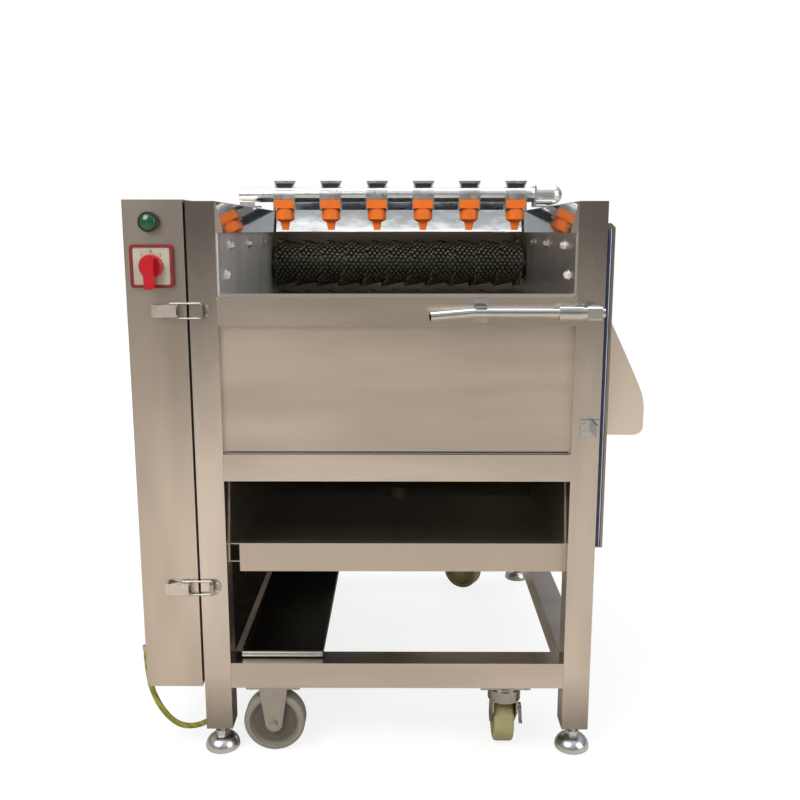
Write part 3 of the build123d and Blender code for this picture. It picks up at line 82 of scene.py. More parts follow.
class Shader:
    """Node tree with a Principled shader, and short calls for what feeds it."""

    def __init__(self, name, color, metallic=0.0, roughness=0.5, **settings):
        self.material = bpy.data.materials.new(name)
        self.material.use_nodes = True
        self.tree = self.material.node_tree
        self.bsdf = self.tree.nodes["Principled BSDF"]
        self.set("Base Color", (*color, 1.0))
        self.set("Metallic", metallic)
        self.set("Roughness", roughness)
        for socket, value in settings.items():
            self.set(socket.replace("_", " "), value)
        self.material.diffuse_color = (*color, 1.0)
        self.color = color
        self.roughness = roughness
        self.coordinates = self.add("ShaderNodeTexCoord").outputs["Object"]

    def set(self, socket, value):
        self.bsdf.inputs[socket].default_value = value

    def add(self, kind, **fields):
        node = self.tree.nodes.new(kind)
        for key, value in fields.items():
            setattr(node, key, value)
        return node

    def link(self, output, socket):
        self.tree.links.new(output, socket)

    def feed(self, output, socket):
        """Lead an output into a socket of the shader itself."""
        self.link(output, self.bsdf.inputs[socket])

    def stretched(self, scale):
        """Coordinates with a scale of their own along each axis."""
        node = self.add("ShaderNodeMapping")
        node.inputs["Scale"].default_value = scale
        self.link(self.coordinates, node.inputs["Vector"])
        return node.outputs["Vector"]

    def along(self, axis):
        """Place along one axis, in metres."""
        parts = self.add("ShaderNodeSeparateXYZ")
        self.link(self.coordinates, parts.inputs[0])
        return parts.outputs[axis]

    def noise(self, scale, detail=3.0, vector=None):
        node = self.add("ShaderNodeTexNoise")
        node.inputs["Scale"].default_value = scale
        node.inputs["Detail"].default_value = detail
        self.link(vector or self.coordinates, node.inputs["Vector"])
        return node.outputs["Fac"]

    def span(self, value, start, end, low=0.0, high=1.0):
        """Number that goes from low to high as the value goes from start to end."""
        node = self.add("ShaderNodeMapRange")
        for socket, number in (("From Min", start), ("From Max", end), ("To Min", low), ("To Max", high)):
            node.inputs[socket].default_value = number
        self.link(value, node.inputs["Value"])
        return node.outputs["Result"]

    def ramp(self, value, low, high, start=0.35, end=0.65):
        """Colours from low to high as the value goes from start to end."""
        node = self.add("ShaderNodeValToRGB")
        first, last = node.color_ramp.elements
        first.position, first.color = start, (*low, 1.0)
        last.position, last.color = end, (*high, 1.0)
        self.link(value, node.inputs["Fac"])
        return node.outputs["Color"]

    def shades(self, amount):
        """The shader's colour, darker and lighter by an amount."""
        darker = tuple(c * (1 - amount) for c in self.color)
        lighter = tuple(min(1.0, c * (1 + amount)) for c in self.color)
        return darker, lighter

    def tint(self, value, amount):
        """Base colour that varies by plus and minus amount about its own value."""
        self.feed(self.ramp(value, *self.shades(amount)), "Base Color")

    def vary_roughness(self, value, amount):
        """Roughness that varies by plus and minus amount about its own value."""
        low, high = self.roughness - amount, self.roughness + amount
        self.feed(self.span(value, NOISE_LOW, NOISE_HIGH, low, high), "Roughness")

    def across(self, axis, start, end, low, high):
        """Base colour that goes from low to high between two places along an axis."""
        value = self.span(self.along(axis), start, end)
        self.feed(self.ramp(value, low, high, 0.0, 1.0), "Base Color")

    def painted_shade_by_height(self, stops):
        """Grey factor of painted shade and light along the height, that runs through stops of (height,
        factor).
        """
        low, high = stops[0][0], stops[-1][0]
        node = self.add("ShaderNodeValToRGB")
        elements = node.color_ramp.elements
        for place, (height, factor) in enumerate(stops):
            if 0 < place < len(stops) - 1:
                element = elements.new((height - low) / (high - low))
            else:
                element = elements[0 if place == 0 else -1]
            element.color = (factor, factor, factor, 1.0)
        self.link(self.span(self.along("Z"), low * MM, high * MM), node.inputs["Fac"])
        return node.outputs["Color"]

    def shaded(self, value, amount, stops):
        """Tinted base colour, times the painted-shade factor that its height has in the stops."""
        mix = self.add("ShaderNodeMix", data_type="RGBA", blend_type="MULTIPLY")
        factor, first, second = (mix.inputs[i] for i in (0, 6, 7))
        factor.default_value = 1.0
        self.link(self.ramp(value, *self.shades(amount)), first)
        self.link(self.painted_shade_by_height(stops), second)
        self.feed(mix.outputs[2], "Base Color")

    def round_axis(self, centre, radius, inside, outside):
        """Base colour that changes at a radius round an axis along Y, through the centre."""
        blur = 2.0
        flat = self.add("ShaderNodeVectorMath", operation="MULTIPLY")
        flat.inputs[1].default_value = (1, 0, 1)
        self.link(self.coordinates, flat.inputs[0])
        far = self.add("ShaderNodeVectorMath", operation="DISTANCE")
        far.inputs[1].default_value = (centre.x, 0, centre.z)
        self.link(flat.outputs[0], far.inputs[0])
        value = self.span(far.outputs["Value"], (radius - blur) * MM, (radius + blur) * MM)
        self.feed(self.ramp(value, inside, outside, 0.0, 1.0), "Base Color")

    def bump(self, value, strength, distance):
        node = self.add("ShaderNodeBump")
        node.inputs["Strength"].default_value = strength
        node.inputs["Distance"].default_value = distance
        self.link(value, node.inputs["Height"])
        self.feed(node.outputs["Normal"], "Normal")


# Noise scales that draw brushing, and the soft clouds of its tone, along one axis
GRAIN = {"x": (3, 2600, 2600), "z": (2600, 2600, 3)}
CLOUDS = {"x": (3, 16, 16), "z": (16, 16, 3)}
EVEN = ((0, 1.0), (900, 1.0))       # no painted shade: the same factor at every height


def brushed(name, color, roughness, grain, painted_shade_by_height=EVEN):
    """Steel with fine brushing along one axis, soft clouds, and stops of (height, factor) for painted
    shade along its height.
    """
    s = Shader(name, color, metallic=1.0, roughness=roughness)
    lines = s.noise(1.0, 2.0, s.stretched(GRAIN[grain]))
    s.shaded(s.noise(1.0, 2.0, s.stretched(CLOUDS[grain])), 0.1, painted_shade_by_height)
    s.vary_roughness(lines, 0.015)
    s.bump(lines, 0.015, 0.0001)
    return s.material


def polished(name, color, roughness, rear_start, painted_reflection_color):
    """Near mirror with the waviness of thin sheet; from rear_start behind the front on it is painted
    darker, a painted reflection of a dark room.
    """
    fade = 4.0
    s = Shader(name, color, metallic=1.0, roughness=roughness)
    s.across("Y", at(0, rear_start - fade, 0).y, at(0, rear_start, 0).y, color, painted_reflection_color)
    s.vary_roughness(s.noise(40.0, 4.0), roughness * 0.4)
    s.bump(s.noise(9.0, 1.0), 0.25, 0.002)
    return s.material


def turned(name, color, roughness):
    """Machined or plated metal with fine scratches."""
    s = Shader(name, color, metallic=1.0, roughness=roughness)
    s.tint(s.noise(40.0, 2.0), 0.05)
    s.vary_roughness(s.noise(160.0, 3.0), 0.03)
    s.bump(s.noise(900.0, 2.0), 0.03, 0.0002)
    return s.material


def rolled(name, color, roughness):
    """Thin spring steel: soft clouds and smears, with no raised grain."""
    s = Shader(name, color, metallic=1.0, roughness=roughness)
    s.tint(s.noise(60.0, 3.0), 0.14)
    s.vary_roughness(s.noise(120.0, 3.0), 0.06)
    return s.material


def moulded(name, color, roughness, grain=900.0, **settings):
    """Moulded plastic or rubber: slightly mottled, with a fine leathery surface."""
    s = Shader(name, color, roughness=roughness, **settings)
    s.tint(s.noise(30.0, 3.0), 0.08)
    s.vary_roughness(s.noise(90.0, 3.0), 0.06)
    s.bump(s.noise(grain, 2.0), 0.1, 0.0003)
    return s.material


def painted(name, color):
    """Sprayed enamel with faint orange peel."""
    s = Shader(name, color, roughness=0.4, Coat_Weight=0.25, Coat_Roughness=0.2)
    s.tint(s.noise(18.0, 3.0), 0.08)
    s.bump(s.noise(420.0, 2.0), 0.18, 0.0004)
    return s.material


def lipped(name, inside, lip, lip_end, roughness):
    """Sheet that is bright up to lip_end behind the frame's front, and painted darker behind that as
    painted shade inside.
    """
    s = Shader(name, inside, metallic=1.0, roughness=roughness)
    s.across("Y", at(0, lip_end - 1, 0).y, at(0, lip_end + 1, 0).y, lip, inside)
    s.vary_roughness(s.noise(8.0, 1.0), 0.02)
    return s.material


def cast(name, color):
    """Rough cast metal."""
    s = Shader(name, color, metallic=0.3, roughness=0.6)
    s.tint(s.noise(80.0, 4.0), 0.25)
    s.bump(s.noise(260.0, 5.0), 0.5, 0.0008)
    return s.material


def wheel_material():
    """Rigid wheel: web painted dark as painted shade, inside a ring painted paler as a painted highlight
    on the rim.
    """
    web_radius = 35
    s = Shader("wheel_nylon_olive", (0.22, 0.2, 0.16), roughness=0.36)
    s.round_axis(box_centre("caster_wheel_front_left"), web_radius, (0.1, 0.09, 0.075), (0.25, 0.23, 0.19))
    s.bump(s.noise(500.0, 2.0), 0.1, 0.0003)
    return s.material


def lead_material():
    """Green and yellow insulation, in slanting stripes."""
    green, yellow = (0.2, 0.21, 0.02), (0.34, 0.31, 0.03)
    s = Shader("lead_green_yellow", (0.5, 0.55, 0.02), roughness=0.4)
    wave = s.add("ShaderNodeTexWave", wave_type="BANDS", bands_direction="DIAGONAL")
    wave.inputs["Scale"].default_value = 38.0
    wave.inputs["Distortion"].default_value = 1.2
    s.link(s.coordinates, wave.inputs["Vector"])
    s.feed(s.ramp(wave.outputs["Fac"], green, yellow, 0.38, 0.62), "Base Color")
    s.bump(s.noise(600.0, 2.0), 0.15, 0.0003)
    return s.material


M = {
    # painted shade by height: the posts darker towards the foot and the top, the casing sheet and the
    # cover darker towards the top
    "post": brushed("steel_brushed_upright", (0.68, 0.615, 0.55), 0.26, "z",
                    ((45, 0.5), (130, 1.0), (590, 0.98), (800, 0.42))),
    "rail": brushed("steel_brushed_across", (0.63, 0.565, 0.495), 0.26, "x"),
    "sheet_z": brushed("steel_sheet_upright", (0.64, 0.565, 0.49), 0.32, "z",
                       ((110, 1.0), (400, 0.96), (820, 0.72))),
    "sheet_x": brushed("steel_sheet_across", (0.62, 0.55, 0.465), 0.38, "x"),
    # cover and chute: the same sheet steel, painted darker on the cover as painted shade and brighter on
    # the chute as painted light
    "cover": brushed("steel_cover_painted_shade", (0.38, 0.34, 0.305), 0.32, "z", ((110, 1.0), (400, 0.96), (820, 0.8))),
    "chute": brushed("steel_chute_painted_light", (0.86, 0.77, 0.67), 0.34, "z"),
    "plate": brushed("steel_plate", (0.74, 0.67, 0.62), 0.34, "z"),
    # left end plate: the end plate steel painted brighter, a painted reflection of light
    "plate_left": brushed("steel_plate_painted_light", (0.95, 0.94, 0.91), 0.45, "z"),
    "clip": rolled("clip_steel", (0.55, 0.55, 0.54), 0.3),
    "foot": turned("foot_steel", (0.72, 0.73, 0.74), 0.24),
    # painted reflection: the hopper sheet from 702 behind the front on is painted dark, as a dark room
    # reflected in it
    "mirror": polished("steel_polished", (0.62, 0.62, 0.61), 0.08, 702, (0.12, 0.135, 0.15)),
    # painted shade: the pan and the tray darker behind their lips, the tray nearly black inside
    "pan": lipped("steel_pan", (0.46, 0.41, 0.32), (0.58, 0.51, 0.44), 34, 0.36),
    "tray": lipped("steel_tray", (0.085, 0.075, 0.055), (0.5, 0.5, 0.48), 17, 0.32),
    "pipe": turned("steel_pipe", (0.86, 0.88, 0.88), 0.24),
    "bar": turned("steel_bar", (0.6, 0.6, 0.57), 0.18),
    "turned": turned("steel_turned", (0.5, 0.49, 0.47), 0.28),
    "chain": turned("steel_oiled", (0.16, 0.15, 0.14), 0.38),
    "plated": turned("zinc_plating", (0.42, 0.4, 0.37), 0.3),
    "chrome": turned("chrome_plating", (0.56, 0.57, 0.59), 0.09),
    "lever": turned("latch_lever_steel", (0.72, 0.66, 0.6), 0.36),
    "dark_bolt": turned("blackened_bolt", (0.09, 0.085, 0.08), 0.4),
    "bearing": cast("bearing_casting", (0.12, 0.14, 0.15)),
    "motor": painted("motor_enamel", (0.045, 0.08, 0.13)),
    "rubber": moulded("rubber_black", (0.012, 0.012, 0.012), 0.75, 300.0),
    "orange": moulded("nozzle_orange", (0.85, 0.17, 0.008), 0.38),
    "red": moulded("knob_red", (0.46, 0.006, 0.016), 0.28),
    "red_rim": moulded("plate_rim_red", (0.2, 0.012, 0.014), 0.45),
    "plate_face": moulded("switch_face_grey", (0.46, 0.43, 0.34), 0.42),
    "bezel": moulded("bezel_black", (0.012, 0.02, 0.014), 0.35),
    "lens": moulded("lens_green", (0.003, 0.085, 0.024), 0.16, Transmission_Weight=0.1, Coat_Weight=0.3),
    "wheel": wheel_material(),
    "wheel_light": moulded("wheel_nylon_pale", (0.36, 0.33, 0.16), 0.36, 500.0),
    "ink": moulded("printed_black", (0.015, 0.015, 0.015), 0.6),
    "film": moulded("film_blue", (0.005, 0.016, 0.07), 0.3, 200.0, Coat_Weight=0.4),
    "film_edge": moulded("film_pale", (0.5, 0.52, 0.56), 0.35, 200.0),
    # bristle and bristle_tip: one bristle colour in two copies, the sides darker as painted shade between
    # tufts, the tips lighter as painted light
    "bristle": moulded("bristle_olive_painted_shade", (0.05, 0.047, 0.022), 0.75, 1500.0),
    "bristle_tip": moulded("bristle_tip_olive_painted_light", (0.085, 0.082, 0.04), 0.7, 1500.0),
    "core": moulded("brush_core_black", (0.02, 0.02, 0.016), 0.6, 400.0),
}


# ---- finish of the CAD nodes ---------------------------------------------------------------------
ROLLERS = range(1, 8)


def paint(names, material, bevel=0.0):
    """Give nodes a material, and softened edges where they catch the light."""
    for name in names.split():
        piece = NODES[name]
        piece.data.materials.clear()
        piece.data.materials.append(material)
        if bevel:
            edge = piece.modifiers.new("edge", "BEVEL")
            edge.width = bevel * MM
            edge.segments = 2
            edge.limit_method = "ANGLE"
            edge.angle_limit = radians(50)


def finish_nodes():
    paint("frame_posts", M["post"], 1.6)
    paint("frame_rails", M["rail"], 1.6)
    paint("right_end_plate discharge_door", M["plate"])
    paint("left_end_plate", M["plate_left"])
    paint("lever_catches", M["chrome"], 0.3)
    paint("feed_hopper", M["mirror"])
    paint("front_panel rear_panel", M["sheet_x"])
    paint("right_cover", M["cover"])
    paint("discharge_chute", M["chute"])
    paint("drive_casing", M["sheet_z"])
    paint("casing_gasket", M["rubber"])
    paint("pilot_bezel", M["bezel"], 0.5)
    paint("pilot_lens", M["lens"])
    paint("switch_plate", M["red_rim"], 0.6)
    paint("switch_knob", M["red"], 0.7)
    paint("latch_plates upper_latch_bail lower_latch_bail", M["plated"], 0.2)
    paint("upper_latch_lever lower_latch_lever", M["lever"], 0.2)
    paint("door_shaft motor_sprocket", M["turned"])
    paint(" ".join(f"roller_shaft_{i}" for i in ROLLERS), M["turned"])
    paint("door_lever", M["bar"], 0.3)
    paint("spray_pipe", M["pipe"], 0.3)
    paint("spray_nozzles", M["orange"], 0.5)
    paint("nozzle_clips", M["clip"])
    paint("shaft_bearings", M["bearing"], 0.6)
    paint("gear_motor", M["motor"], 0.8)
    paint("drive_chain", M["chain"])
    paint("motor_tray", M["tray"])
    paint("drain_pan", M["pan"])
    paint("caster_brackets swivel_fork_front_right swivel_fork_rear_right caster_brake", M["plated"], 0.4)
    paint("caster_wheel_front_left caster_wheel_rear_left", M["wheel"])
    paint("caster_wheel_front_right caster_wheel_rear_right", M["wheel_light"])
    for corner in ("front_left", "front_right", "rear_left", "rear_right"):
        paint(f"levelling_foot_{corner}", M["foot"])


# ---- mesh helpers --------------------------------------------------------------------------------
def add_mesh(name, bm, materials, body, smooth=False):
    """Piece of the scene, made of a mesh in work, that rides on a body."""
    mesh = bpy.data.meshes.new(name)
    bm.normal_update()
    bm.to_mesh(mesh)
    bm.free()
    for material in materials:
        mesh.materials.append(material)
    if smooth:
        mesh.polygons.foreach_set("use_smooth", [True] * len(mesh.polygons))
    piece = bpy.data.objects.new(name, mesh)
    bpy.context.scene.collection.objects.link(piece)
    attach(piece, body)
    return piece


def facing(normal):
    """Rotation that turns +Z to the normal."""
    return Vector(normal).to_track_quat("Z", "Y").to_matrix().to_4x4()


def placed(point, normal):
    """Place on a face: its origin at the point, its +Z along the face's normal."""
    return Matrix.Translation(at(*point)) @ facing(normal)


def raised(place, lift):
    """The same place, a lift further out along its +Z."""
    return place @ Matrix.Translation((0, 0, lift * MM))


def add_prism(bm, outline, height, place, bevel=0.0):
    """Closed outline in (x, y) millimetres, raised along z, then placed; the bevel is on its far rim."""
    base = [bm.verts.new((x * MM, y * MM, 0)) for x, y in outline]
    face = bm.faces.new(base)
    made = bmesh.ops.extrude_face_region(bm, geom=[face])
    top = [v for v in made["geom"] if isinstance(v, bmesh.types.BMVert)]
    bmesh.ops.translate(bm, vec=(0, 0, height * MM), verts=top)
    bmesh.ops.reverse_faces(bm, faces=[face])
    if bevel:
        rim = [e for e in {e for v in top for e in v.link_edges} if all(v in top for v in e.verts)]
        cut = bmesh.ops.bevel(bm, geom=rim, offset=bevel * MM, segments=2, affect="EDGES")
        top = list({v for f in cut["faces"] for v in f.verts} | {v for v in top if v.is_valid})
    bmesh.ops.transform(bm, matrix=place, verts=list({*base, *top}))


def circle_points(radius, count, turn=0.0):
    angles = [turn + tau * i / count for i in range(count)]
    return [(radius * cos(a), radius * sin(a)) for a in angles]


def star_points(reach, waist):
    """Outline of a four-pointed star."""
    count = 16
    angles = [tau * i / count for i in range(count)]
    radii = [reach if i % 4 == 0 else waist for i in range(count)]
    return [(r * cos(a), r * sin(a)) for r, a in zip(radii, angles)]


def rounded_points(width, height, radius, steps=5):
    """Outline of a rectangle with round corners."""
    points = []
    for sx, sy, start in ((1, 1, 0), (-1, 1, 90), (-1, -1, 180), (1, -1, 270)):
        x = sx * (width / 2 - radius)
        y = sy * (height / 2 - radius)
        for i in range(steps + 1):
            a = radians(start + 90 * i / steps)
            points.append((x + radius * cos(a), y + radius * sin(a)))
    return points


def bolts(name, places, normal, size, head, washer=True, material="chrome"):
    """Hexagon heads with a washer and a domed tip, all on faces of the frame with one normal."""
    bm = bmesh.new()
    for i, point in enumerate(places):
        place = placed(point, normal)
        lift = 0.9 if washer else 0.0
        if washer:
            add_prism(bm, circle_points(size * 1.35, 20), lift, place, 0.25)
        add_prism(bm, circle_points(size, 6, 0.4 * i), head, raised(place, lift), 0.5)
        add_prism(bm, circle_points(size * 0.55, 14), size * 0.25, raised(place, lift + head), 0.3)
    add_mesh(name, bm, [M[material]], "frame")


def cap_screws(name, places, normal, size, height):
    """Low round heads, each with a four-pointed star for its cross recess."""
    bm = bmesh.new()
    for point in places:
        place = placed(point, normal)
        add_prism(bm, circle_points(size, 18), height, place, min(0.5, height / 2))
        add_prism(bm, star_points(size * 0.5, size * 0.16), 0.05, raised(place, height + 0.02))
    add_mesh(name, bm, [M["chrome"]], "frame")


# ---- brushes -------------------------------------------------------------------------------------
TUFT_LENGTH = 14.0
TUFT_ROWS = 38                      # round a roller
TUFT_PITCH = 9.2                    # along a row
STEP_PITCH, STEP = 43.5, 8.5        # of the helix along which the tips step up
END_GAP = 5.0                       # bare core at each end of a roller


def add_tuft(bm, centre, along, lean, core, tip):
    """Tuft from inside the core to its tip, at a place along the roller and an angle round it."""
    sides = 5
    rings = []
    for radius, wide in ((core - 1.0, 1.9), (tip, 2.7)):
        ring = []
        for k in range(sides):
            a = tau * k / sides + lean
            x = along + wide * cos(a)
            turn = lean + wide * sin(a) / radius
            ring.append(bm.verts.new(centre + Vector((x, radius * cos(turn), radius * sin(turn))) * MM))
        rings.append(ring)
    root, top = rings
    for k in range(sides):
        j = (k + 1) % sides
        bm.faces.new((root[k], root[j], top[j], top[k])).material_index = 1
    bm.faces.new(top).material_index = 2


def brush_roller(index):
    """Core with tufts in staggered rows; the tips step up along a helix."""
    node = f"brush_roller_{index}"
    low, high = (Vector(c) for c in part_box(node))
    centre = (low + high) / 2
    half = (high.x - low.x) / 2 / MM
    outer = (high.z - low.z) / 2 / MM
    core = outer - TUFT_LENGTH
    rng = random.Random(100 + index)
    bm = bmesh.new()
    left_end = Matrix.Translation(Vector((low.x, centre.y, centre.z))) @ facing((1, 0, 0))
    add_prism(bm, circle_points(core, 48), 2 * half, left_end)
    columns = int((2 * half - 2 * END_GAP) / TUFT_PITCH)
    for row in range(TUFT_ROWS):
        angle = tau * row / TUFT_ROWS
        for column in range(columns + 1):
            along = -half + END_GAP + TUFT_PITCH * (column + 0.5 * (row % 2)) + rng.uniform(-0.5, 0.5)
            if along > half - 3.5:
                continue
            phase = (along / STEP_PITCH + row / TUFT_ROWS) % 1.0
            tip = outer - STEP * phase - rng.uniform(0, 0.5)
            lean = angle + rng.uniform(-0.02, 0.02)
            add_tuft(bm, centre, along, lean, core, tip)
    # tuft sides take the darker bristle copy as painted shade, the tips the lighter copy as painted light
    materials = [M["core"], M["bristle"], M["bristle_tip"]]
    piece = add_mesh(f"bristles_{index}", bm, materials, f"roller_{index}")
    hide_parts(node)


# ---- controls ------------------------------------------------------------------------------------
def switch_details():
    """Pale face of the rotary switch, with its three marks."""
    centre = node_centre("switch_plate")
    face_y, face_size, face_height = -4.5, 51.6, 0.5
    mark_radius, mark_size = 20.5, 6.0
    bm = bmesh.new()
    place = placed((centre.x, face_y, centre.z), FRONT)
    add_prism(bm, rounded_points(face_size, face_size, 3), face_height, place, 0.2)
    add_mesh("switch_face", bm, [M["plate_face"]], "frame")
    upright = Matrix.Rotation(radians(90), 4, "X")
    for label, turn in (("1", -40), ("0", 0), ("2", 40)):
        text = bpy.data.curves.new(f"mark_{label}", "FONT")
        text.body = label
        text.size = mark_size * MM
        text.extrude = 0.08 * MM
        text.align_x = text.align_y = "CENTER"
        text.materials.append(M["ink"])
        mark = bpy.data.objects.new(f"mark_{label}", text)
        x = centre.x + mark_radius * sin(radians(turn))
        z = centre.z + mark_radius * cos(radians(turn))
        mark.matrix_world = Matrix.Translation(at(x, face_y - face_height - 0.1, z)) @ upright
        bpy.context.scene.collection.objects.link(mark)
        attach(mark, "frame")


# ---- bolts and small pieces ----------------------------------------------------------------------
def fasteners():
    """Bolts and screws of the plates, pan, latches, stops, cover and casters."""
    plate_bolts = ((411, 771), (259, 771), (96, 771), (59, 728), (640, 771))
    pan_rim = 442
    for side, name in ((1, "right"), (-1, "left")):
        inward = (-side, 0, 0)
        places = [(side * (INNER - PLATE), y, z) for y, z in plate_bolts]
        bolts(f"plate_bolts_{name}", places, inward, 6.0, 4.5, material="lever")
        places = [(side * (INNER - SHEET), y, pan_rim) for y in (90, 240, 390, 540, 670)]
        bolts(f"pan_bolts_{name}", places, inward, 4.5, 3.0)

    strike_x, latch_heights, screw_rise = -266.5, (681, 270), 6.5
    places = [(strike_x, -SHEET, z + dz) for z in latch_heights for dz in (-screw_rise, screw_rise)]
    cap_screws("latch_screws", places, FRONT, 2.0, 0.12)
    places = [(111, -3, 670), (123, -3, 670), (270, -3, 507), (270, -3, 519)]
    cap_screws("stop_screws", places, FRONT, 3.0, 1.4)
    cover_face = HALF_WIDTH + 11
    places = [(cover_face, y, z) for y in (40, 372, 704) for z in (350, 782)]
    cap_screws("cover_screws", places, (1, 0, 0), 3.5, 1.4)

    left_caster, right_caster, plate_underside = -189, 165, 105
    xs = [x + side * reach for x, reach in ((left_caster, 34), (right_caster, 32)) for side in (-1, 1)]
    for end, rows in (("front", (7, 33)), ("rear", (DEPTH - 36, DEPTH - 18))):
        places = [(x, y, plate_underside) for x in xs for y in rows]
        bolts(f"caster_bolts_{end}", places, (0, 0, -1), 3.6, 2.6, False, "dark_bolt")
    bolts("axle_nut_front_left", [(left_caster, 1, 47.8)], FRONT, 6.0, 3.5, False, "plated")


def flare_gussets():
    """Thin closing plates between the side flares and the front posts."""
    crest, foot = TOP - 1.5, TOP - TUBE - PLATE
    crest_width, foot_width = 1.8, 11.5
    outline = [(-INNER, foot), (-INNER + foot_width, foot), (-INNER + crest_width, crest), (-INNER, crest)]
    bm = bmesh.new()
    for side in (-1, 1):
        corners = [(x * side, z) for x, z in outline][::-side]
        add_prism(bm, corners, 0.8, placed((0, 2.0, 0), FRONT))
    add_mesh("flare_gussets", bm, [M["rail"]], "frame")


def clip_loop_shades():
    """Dark sheet inside the loop of each nozzle clip, as painted shade."""
    count, offset, pitch = 6, 3.0, 80.8
    outline = [(-12.4, -11.4), (12.4, -11.4), (15.8, -4.1), (-14.3, -4.1)]
    pipe_y = node_centre("nozzle_clips").y
    top = Vector(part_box("nozzle_clips")[1]).z / MM
    bm = bmesh.new()
    for i in range(count):
        x = offset + pitch * (i - (count - 1) / 2)
        add_prism(bm, outline, 0.6, placed((x, pipe_y - 3, top), FRONT))
    add_mesh("clip_loop_shades", bm, [M["bezel"]], "frame")


def cover_film():
    """Blue protective film left on the front edge of the right cover, with a ragged pale side."""
    low, high = (Vector(c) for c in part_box("right_cover"))
    x0 = (low.x - ORIGIN.x) / MM
    y = (low.y - ORIGIN.y) / MM - 0.25
    z0 = low.z / MM + 2
    z1 = high.z / MM - 8
    rows = 24
    columns = [(x0 + 0.4, 0.0), (x0 + 1.5, 0.1), (x0 + 4.9, 0.15), (x0 + 5.9, 0.1), (x0 + 7.2, 0.0)]
    ragged = len(columns) - 1
    strips = (1, 0, 2, 1)
    rng = random.Random(5)
    bm = bmesh.new()
    grid = []
    for i in range(rows + 1):
        z = z0 + (z1 - z0) * i / rows
        grid.append([bm.verts.new(at(x + rng.uniform(-0.2, 0.2) * (j == ragged), y - lift, z))
                     for j, (x, lift) in enumerate(columns)])
    for a, b in zip(grid, grid[1:]):
        for j, strip in enumerate(strips):
            bm.faces.new((a[j], a[j + 1], b[j + 1], b[j])).material_index = strip
    piece = add_mesh("cover_film", bm, [M["film"], M["bezel"], M["film_edge"]], "frame", True)
    piece.modifiers.new("film", "SOLIDIFY").thickness = 0.12 * MM


def panel_film():
    """Thin line of film left along the front panel's lower fold."""
    bm = bmesh.new()
    add_prism(bm, rounded_points(2 * INNER - 6, 2.0, 0.9, 2), 0.15, placed((0, 7.9, 475), FRONT))
    add_mesh("panel_film", bm, [M["film"]], "frame")


def weld(name, start, end, radius):
    """Bead of overlapping ripples along a straight seam."""
    sides, ripple = 6, 1.4
    rng = random.Random(len(name))
    start, end = Vector(start), Vector(end)
    count = max(2, int((end - start).length / ripple))
    path = [start.lerp(end, i / count) for i in range(count)] + [end]
    bm = bmesh.new()
    rings = []
    for i, p in enumerate(path):
        ahead = (path[min(i + 1, count)] - path[max(i - 1, 0)]).normalized()
        place = Matrix.Translation(at(*p)) @ facing(ahead)
        swell = radius * (1.0 if i % 2 else 0.78) * rng.uniform(0.9, 1.1)
        ring = circle_points(swell, sides)
        rings.append([bm.verts.new(place @ Vector((x * MM, y * MM, 0))) for x, y in ring])
    for a, b in zip(rings, rings[1:]):
        for k in range(sides):
            j = (k + 1) % sides
            bm.faces.new((a[k], a[j], b[j], b[k]))
    bm.faces.new(reversed(rings[0]))
    bm.faces.new(rings[-1])
    add_mesh(name, bm, [M["rail"]], "frame", True)


def frame_welds():
    """Beads where the front rails meet the posts."""
    y, radius = 0.1, 0.8
    for label, rail_base in (("lower", 108), ("middle", 433), ("upper", 660)):
        for side, name in ((-1, "left"), (1, "right")):
            x = side * INNER
            weld(f"weld_{label}_{name}", (x, y, rail_base + 1), (x, y, rail_base + TUBE - 1), radius)


# ---- earth lead ----------------------------------------------------------------------------------
LEAD_ROUTE = [
    (-386.5, 26, 158), (-386.5, 26, 106), (-366, 26, 54), (-336, 27, 26), (-297, 38, 28), (-279, 54, 42),
]
LEAD_DIAMETER = 8.5


def earth_lead():
    """Earth lead from the casing's side to the stud on the front left post."""
    curve = bpy.data.curves.new("lead", "CURVE")
    curve.dimensions = "3D"
    curve.bevel_depth = LEAD_DIAMETER / 2 * MM
    curve.bevel_resolution = 5
    curve.resolution_u = 16
    curve.use_fill_caps = True
    spline = curve.splines.new("NURBS")
    spline.points.add(len(LEAD_ROUTE) - 1)
    for point, place in zip(spline.points, LEAD_ROUTE):
        point.co = (*at(*place), 1.0)
    spline.order_u = 3
    spline.use_endpoint_u = True
    curve.materials.append(lead_material())
    lead = bpy.data.objects.new("lead", curve)
    bpy.context.scene.collection.objects.link(lead)
    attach(lead, "frame")
    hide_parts("earth_lead")


